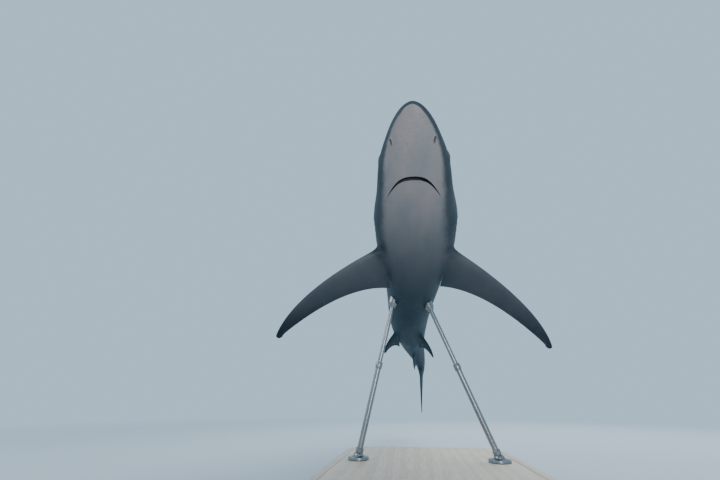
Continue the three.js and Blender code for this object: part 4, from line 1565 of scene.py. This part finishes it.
def make_leg(word, side):
    """One leg: foot, rod and cup, with the rim of the cup against the skin."""
    meets = SHARK @ skin_point(CUP_AT, CUP_RISE if side > 0 else 180 - CUP_RISE)
    low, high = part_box("stand_foot_" + word)
    start = Vector((side * FOOT_OUT, meets.y, high[2] + 0.0003))
    way = (meets - start).normalized()
    whole = (meets - start).length
    height = high[2] - low[2]
    collar, cup_start = whole * COLLAR_SHARE, whole - CUP_LENGTH
    r = FOOT_RADIUS
    foot = turn_on_lathe("steel_foot_" + word, Vector((start.x, start.y, low[2])), UPWARDS, [
        (0, r - 0.001), (0.001, r), (height - 0.0045, r), (height - 0.0035, r - 0.0004),
        (height - 0.003, r - 0.0012), (height - 0.0026, 0.024), (height - 0.0016, 0.0215),
        (height - 0.0004, 0.0205), (height, 0.0190), (height + 0.0005, 0.0178),
        (height + 0.004, 0.0170), (height + 0.008, 0.0142), (height + 0.0105, 0.0095)])
    rod = turn_on_lathe("steel_rod_" + word, start, way, [
        (0.002, 0.0090), (0.0085, 0.0092), (0.009, 0.0128), (0.010, 0.0134), (0.022, 0.0134),
        (0.0235, 0.0122), (0.0237, 0.0102), (0.025, 0.0100), (collar, 0.0100),
        (collar + 0.0005, 0.0122), (collar + 0.002, 0.0128), (collar + 0.021, 0.0128),
        (collar + 0.0225, 0.0120), (collar + 0.0235, 0.0084), (cup_start - 0.0004, 0.0084)])
    cup = turn_on_lathe("steel_cup_" + word, start, way, [
        (cup_start, 0.0105), (cup_start + 0.0012, 0.0125), (cup_start + 0.006, 0.0140),
        (cup_start + 0.012, 0.0172), (cup_start + 0.0165, CUP_RADIUS - 0.0003),
        (whole - 0.010, CUP_RADIUS), (whole - 0.004, CUP_RADIUS)])
    fit_to_skin(cup, start, way, whole - 0.006)
    return foot, rod, cup


def fit_to_skin(cup, start, way, beyond):
    """Lays the points past a given length against the skin, a hair's breadth off it."""
    for vertex in cup.data.vertices:
        if (vertex.co - start).dot(way) > beyond:
            hit, place, _, _ = skin.ray_cast(vertex.co - way * RAY_START, way)
            vertex.co = place - way * GAP if hit else vertex.co
    cup.data.update()


for word, side in (("left", 1), ("right", -1)):
    legs[word] = make_leg(word, side)
print("each leg is a foot, a rod and a cup:", [piece.name for piece in legs["left"]])


# %% [markdown]
# ## The stand's materials
#
# Limed oak is pale, with white lime left in its open grain. The grain is noise stretched far along
# the board, and the pores are short dark and white dashes in the same direction. The steel is
# turned and brushed, so its fine scratches run around the axis of each leg.

# %% Limed oak and brushed steel
OAK_DARK, OAK_PALE = (0.40, 0.335, 0.26), (0.53, 0.47, 0.385)
LIME = (0.70, 0.68, 0.63)


def make_oak():
    """Pale oak with straight grain, rings and limed pores."""
    material, shader = new_material("limed_oak", 0.45)
    along_grain = stretched(material, (9, 0.8, 9))
    rings = add_node(material, "TexWave", {
        "Vector": along_grain, "Scale": 0.8, "Distortion": 9, "Detail": 5, "Detail Scale": 0.9,
    }, wave_type="BANDS", bands_direction="X").outputs["Fac"]
    fibres = noise(material, 16, 6, 0.65, stretched(material, (14, 0.5, 14)))
    pores = noise(material, 60, 2, 0.5, stretched(material, (16, 0.6, 16)))
    dashes = remap(material, pores, 0.60, 0.68)
    wear = noise(material, 3.5, 4, 0.6)
    colour = mix_colours(
        material, remap(material, rings, 0, 1, 0.25, 0.75), OAK_DARK, OAK_PALE)
    colour = mix_colours(
        material, remap(material, fibres, 0.3, 0.7, 0, 0.55), colour, (0.36, 0.29, 0.215))
    colour = mix_colours(material, times(material, dashes, 0.6), colour, LIME)
    colour = mix_colours(
        material, remap(material, wear, 0.4, 0.8, 0, 0.2), colour, (0.60, 0.56, 0.49))
    feed(material, shader.inputs["Base Color"], colour)
    feed(material, shader.inputs["Roughness"], remap(material, fibres, 0.3, 0.7, 0.38, 0.55))
    relief = bump(material, fibres, 0.0006, 0.4)
    relief = bump(material, math_node(material, "SUBTRACT", 1, dashes), 0.0004, 0.5, relief)
    feed(material, shader.inputs["Normal"], relief)
    return material


def make_steel():
    """Brushed steel with fine scratches and a few cloudy marks."""
    material, shader = new_material("brushed_steel", 0.3, 1.0)
    scratches = noise(material, 90, 3, 0.7, stretched(material, (1, 1, 26)))
    clouds = noise(material, 14, 4, 0.6)
    colour = mix_colours(material, clouds, (0.24, 0.25, 0.26), (0.33, 0.335, 0.34))
    colour = mix_colours(
        material, remap(material, scratches, 0.35, 0.7, 0, 0.3), colour, (0.16, 0.17, 0.18))
    feed(material, shader.inputs["Base Color"], colour)
    rough = math_node(material, "MULTIPLY_ADD", scratches, 0.22, 0.2)
    feed(material, shader.inputs["Roughness"], rough)
    feed(material, shader.inputs["Normal"], bump(material, scratches, 0.0001, 0.35))
    return material


board.data.materials.append(make_oak())
steel = make_steel()
for pieces in legs.values():
    for piece in pieces:
        piece.data.materials.append(steel)
print("the stand has", 1 + sum(len(pieces) for pieces in legs.values()), "pieces")

# %% [markdown]
# ## Floor and light
#
# The stage is a plain pale floor that fades into an even backdrop, so that nothing draws the eye
# from the shark. The light does what light does under water: a soft pool of it falls on the snout
# and throat from in front and below and dies away towards the tail, while a broad soft light from
# above and behind draws a pale edge along the back and the fins.

# %% The floor, the backdrop and the lights
BACKDROP = (0.47, 0.67, 0.84)
BACKDROP_STRENGTH = 1.05
FLOOR_SIZE = 80
FLOOR_FADES = (0.9, 4.6)  # where the floor starts and ends fading into the backdrop


def make_floor():
    """A plain floor whose far parts take on the colour of the backdrop."""
    bpy.ops.object.select_all(action="DESELECT")
    bpy.ops.mesh.primitive_plane_add(size=FLOOR_SIZE)
    floor = bpy.context.object
    floor.name = floor.data.name = "studio_floor"
    material, shader = new_material("studio_floor", 0.9)
    shader.inputs["Base Color"].default_value = (0.37, 0.42, 0.46, 1)
    shader.inputs["Specular IOR Level"].default_value = 0.1
    away = add_node(
        material, "VectorMath", {0: object_place(material)}, operation="LENGTH").outputs["Value"]
    glow = add_node(
        material, "Emission", {"Color": (*BACKDROP, 1), "Strength": BACKDROP_STRENGTH})
    mixed = add_node(material, "MixShader", {
        0: remap(material, away, *FLOOR_FADES), 1: shader.outputs[0], 2: glow.outputs[0]})
    output = material.node_tree.nodes["Material Output"]
    feed(material, output.inputs["Surface"], mixed.outputs[0])
    floor.data.materials.append(material)
    return floor


def add_soft_light(name, place, target, size, power, colour, spread=180, shines=True):
    """A square soft light that points at a target; a narrow spread keeps it off the floor."""
    data = bpy.data.lights.new(name, "AREA")
    data.size = size
    data.energy = power
    data.color = colour
    data.spread = math.radians(spread)
    light = bpy.data.objects.new(name, data)
    bpy.context.scene.collection.objects.link(light)
    light.location = place
    aim = target - Vector(place)
    light.rotation_euler = aim.to_track_quat("-Z", "Y").to_euler()
    light.visible_camera = False
    light.visible_glossy = shines
    return light


floor = make_floor()
world = bpy.data.worlds.new("studio")
world.use_nodes = True
world.node_tree.nodes["Background"].inputs["Color"].default_value = (*BACKDROP, 1)
world.node_tree.nodes["Background"].inputs["Strength"].default_value = BACKDROP_STRENGTH
bpy.context.scene.world = world
snout_place = SHARK @ spine_at(9)[0]
middle_place = SHARK @ spine_at(45)[0]
add_soft_light("snout_light", (0.20, -1.5, 0.42), snout_place, 0.5, 3.6, (1, 0.93, 0.90), 95)
add_soft_light("sky_light", (1.4, 1.6, 3.4), middle_place, 3.4, 240, (0.93, 0.97, 1),
               shines=False)
add_soft_light("side_light", (-2.6, -0.9, 2.2), middle_place, 1.6, 28, (0.95, 0.98, 1))

# %% [markdown]
# ## What each piece stands for
#
# Every piece rides on the model's one body, and the solids that it stands for are hidden. The solids
# stay as they are for the physics, and only their looks are replaced.

# %% Tie the pieces to the model
NOT_SKIN = ("stand_", "eye_")
flesh = [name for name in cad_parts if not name.startswith(NOT_SKIN)]
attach(skin, "root")
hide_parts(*flesh)
for word, ball in eyes.items():
    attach(ball, "root")
    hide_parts("eye_" + word)
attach(board, "root")
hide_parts("stand_base")
for word, pieces in legs.items():
    for part, piece in zip(("foot", "rod", "cup"), pieces):
        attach(piece, "root")
        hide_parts("stand_" + part + "_" + word)
print("the skin stands for", len(flesh), "solids")

# %% Finish
bpy.context.view_layer.update()
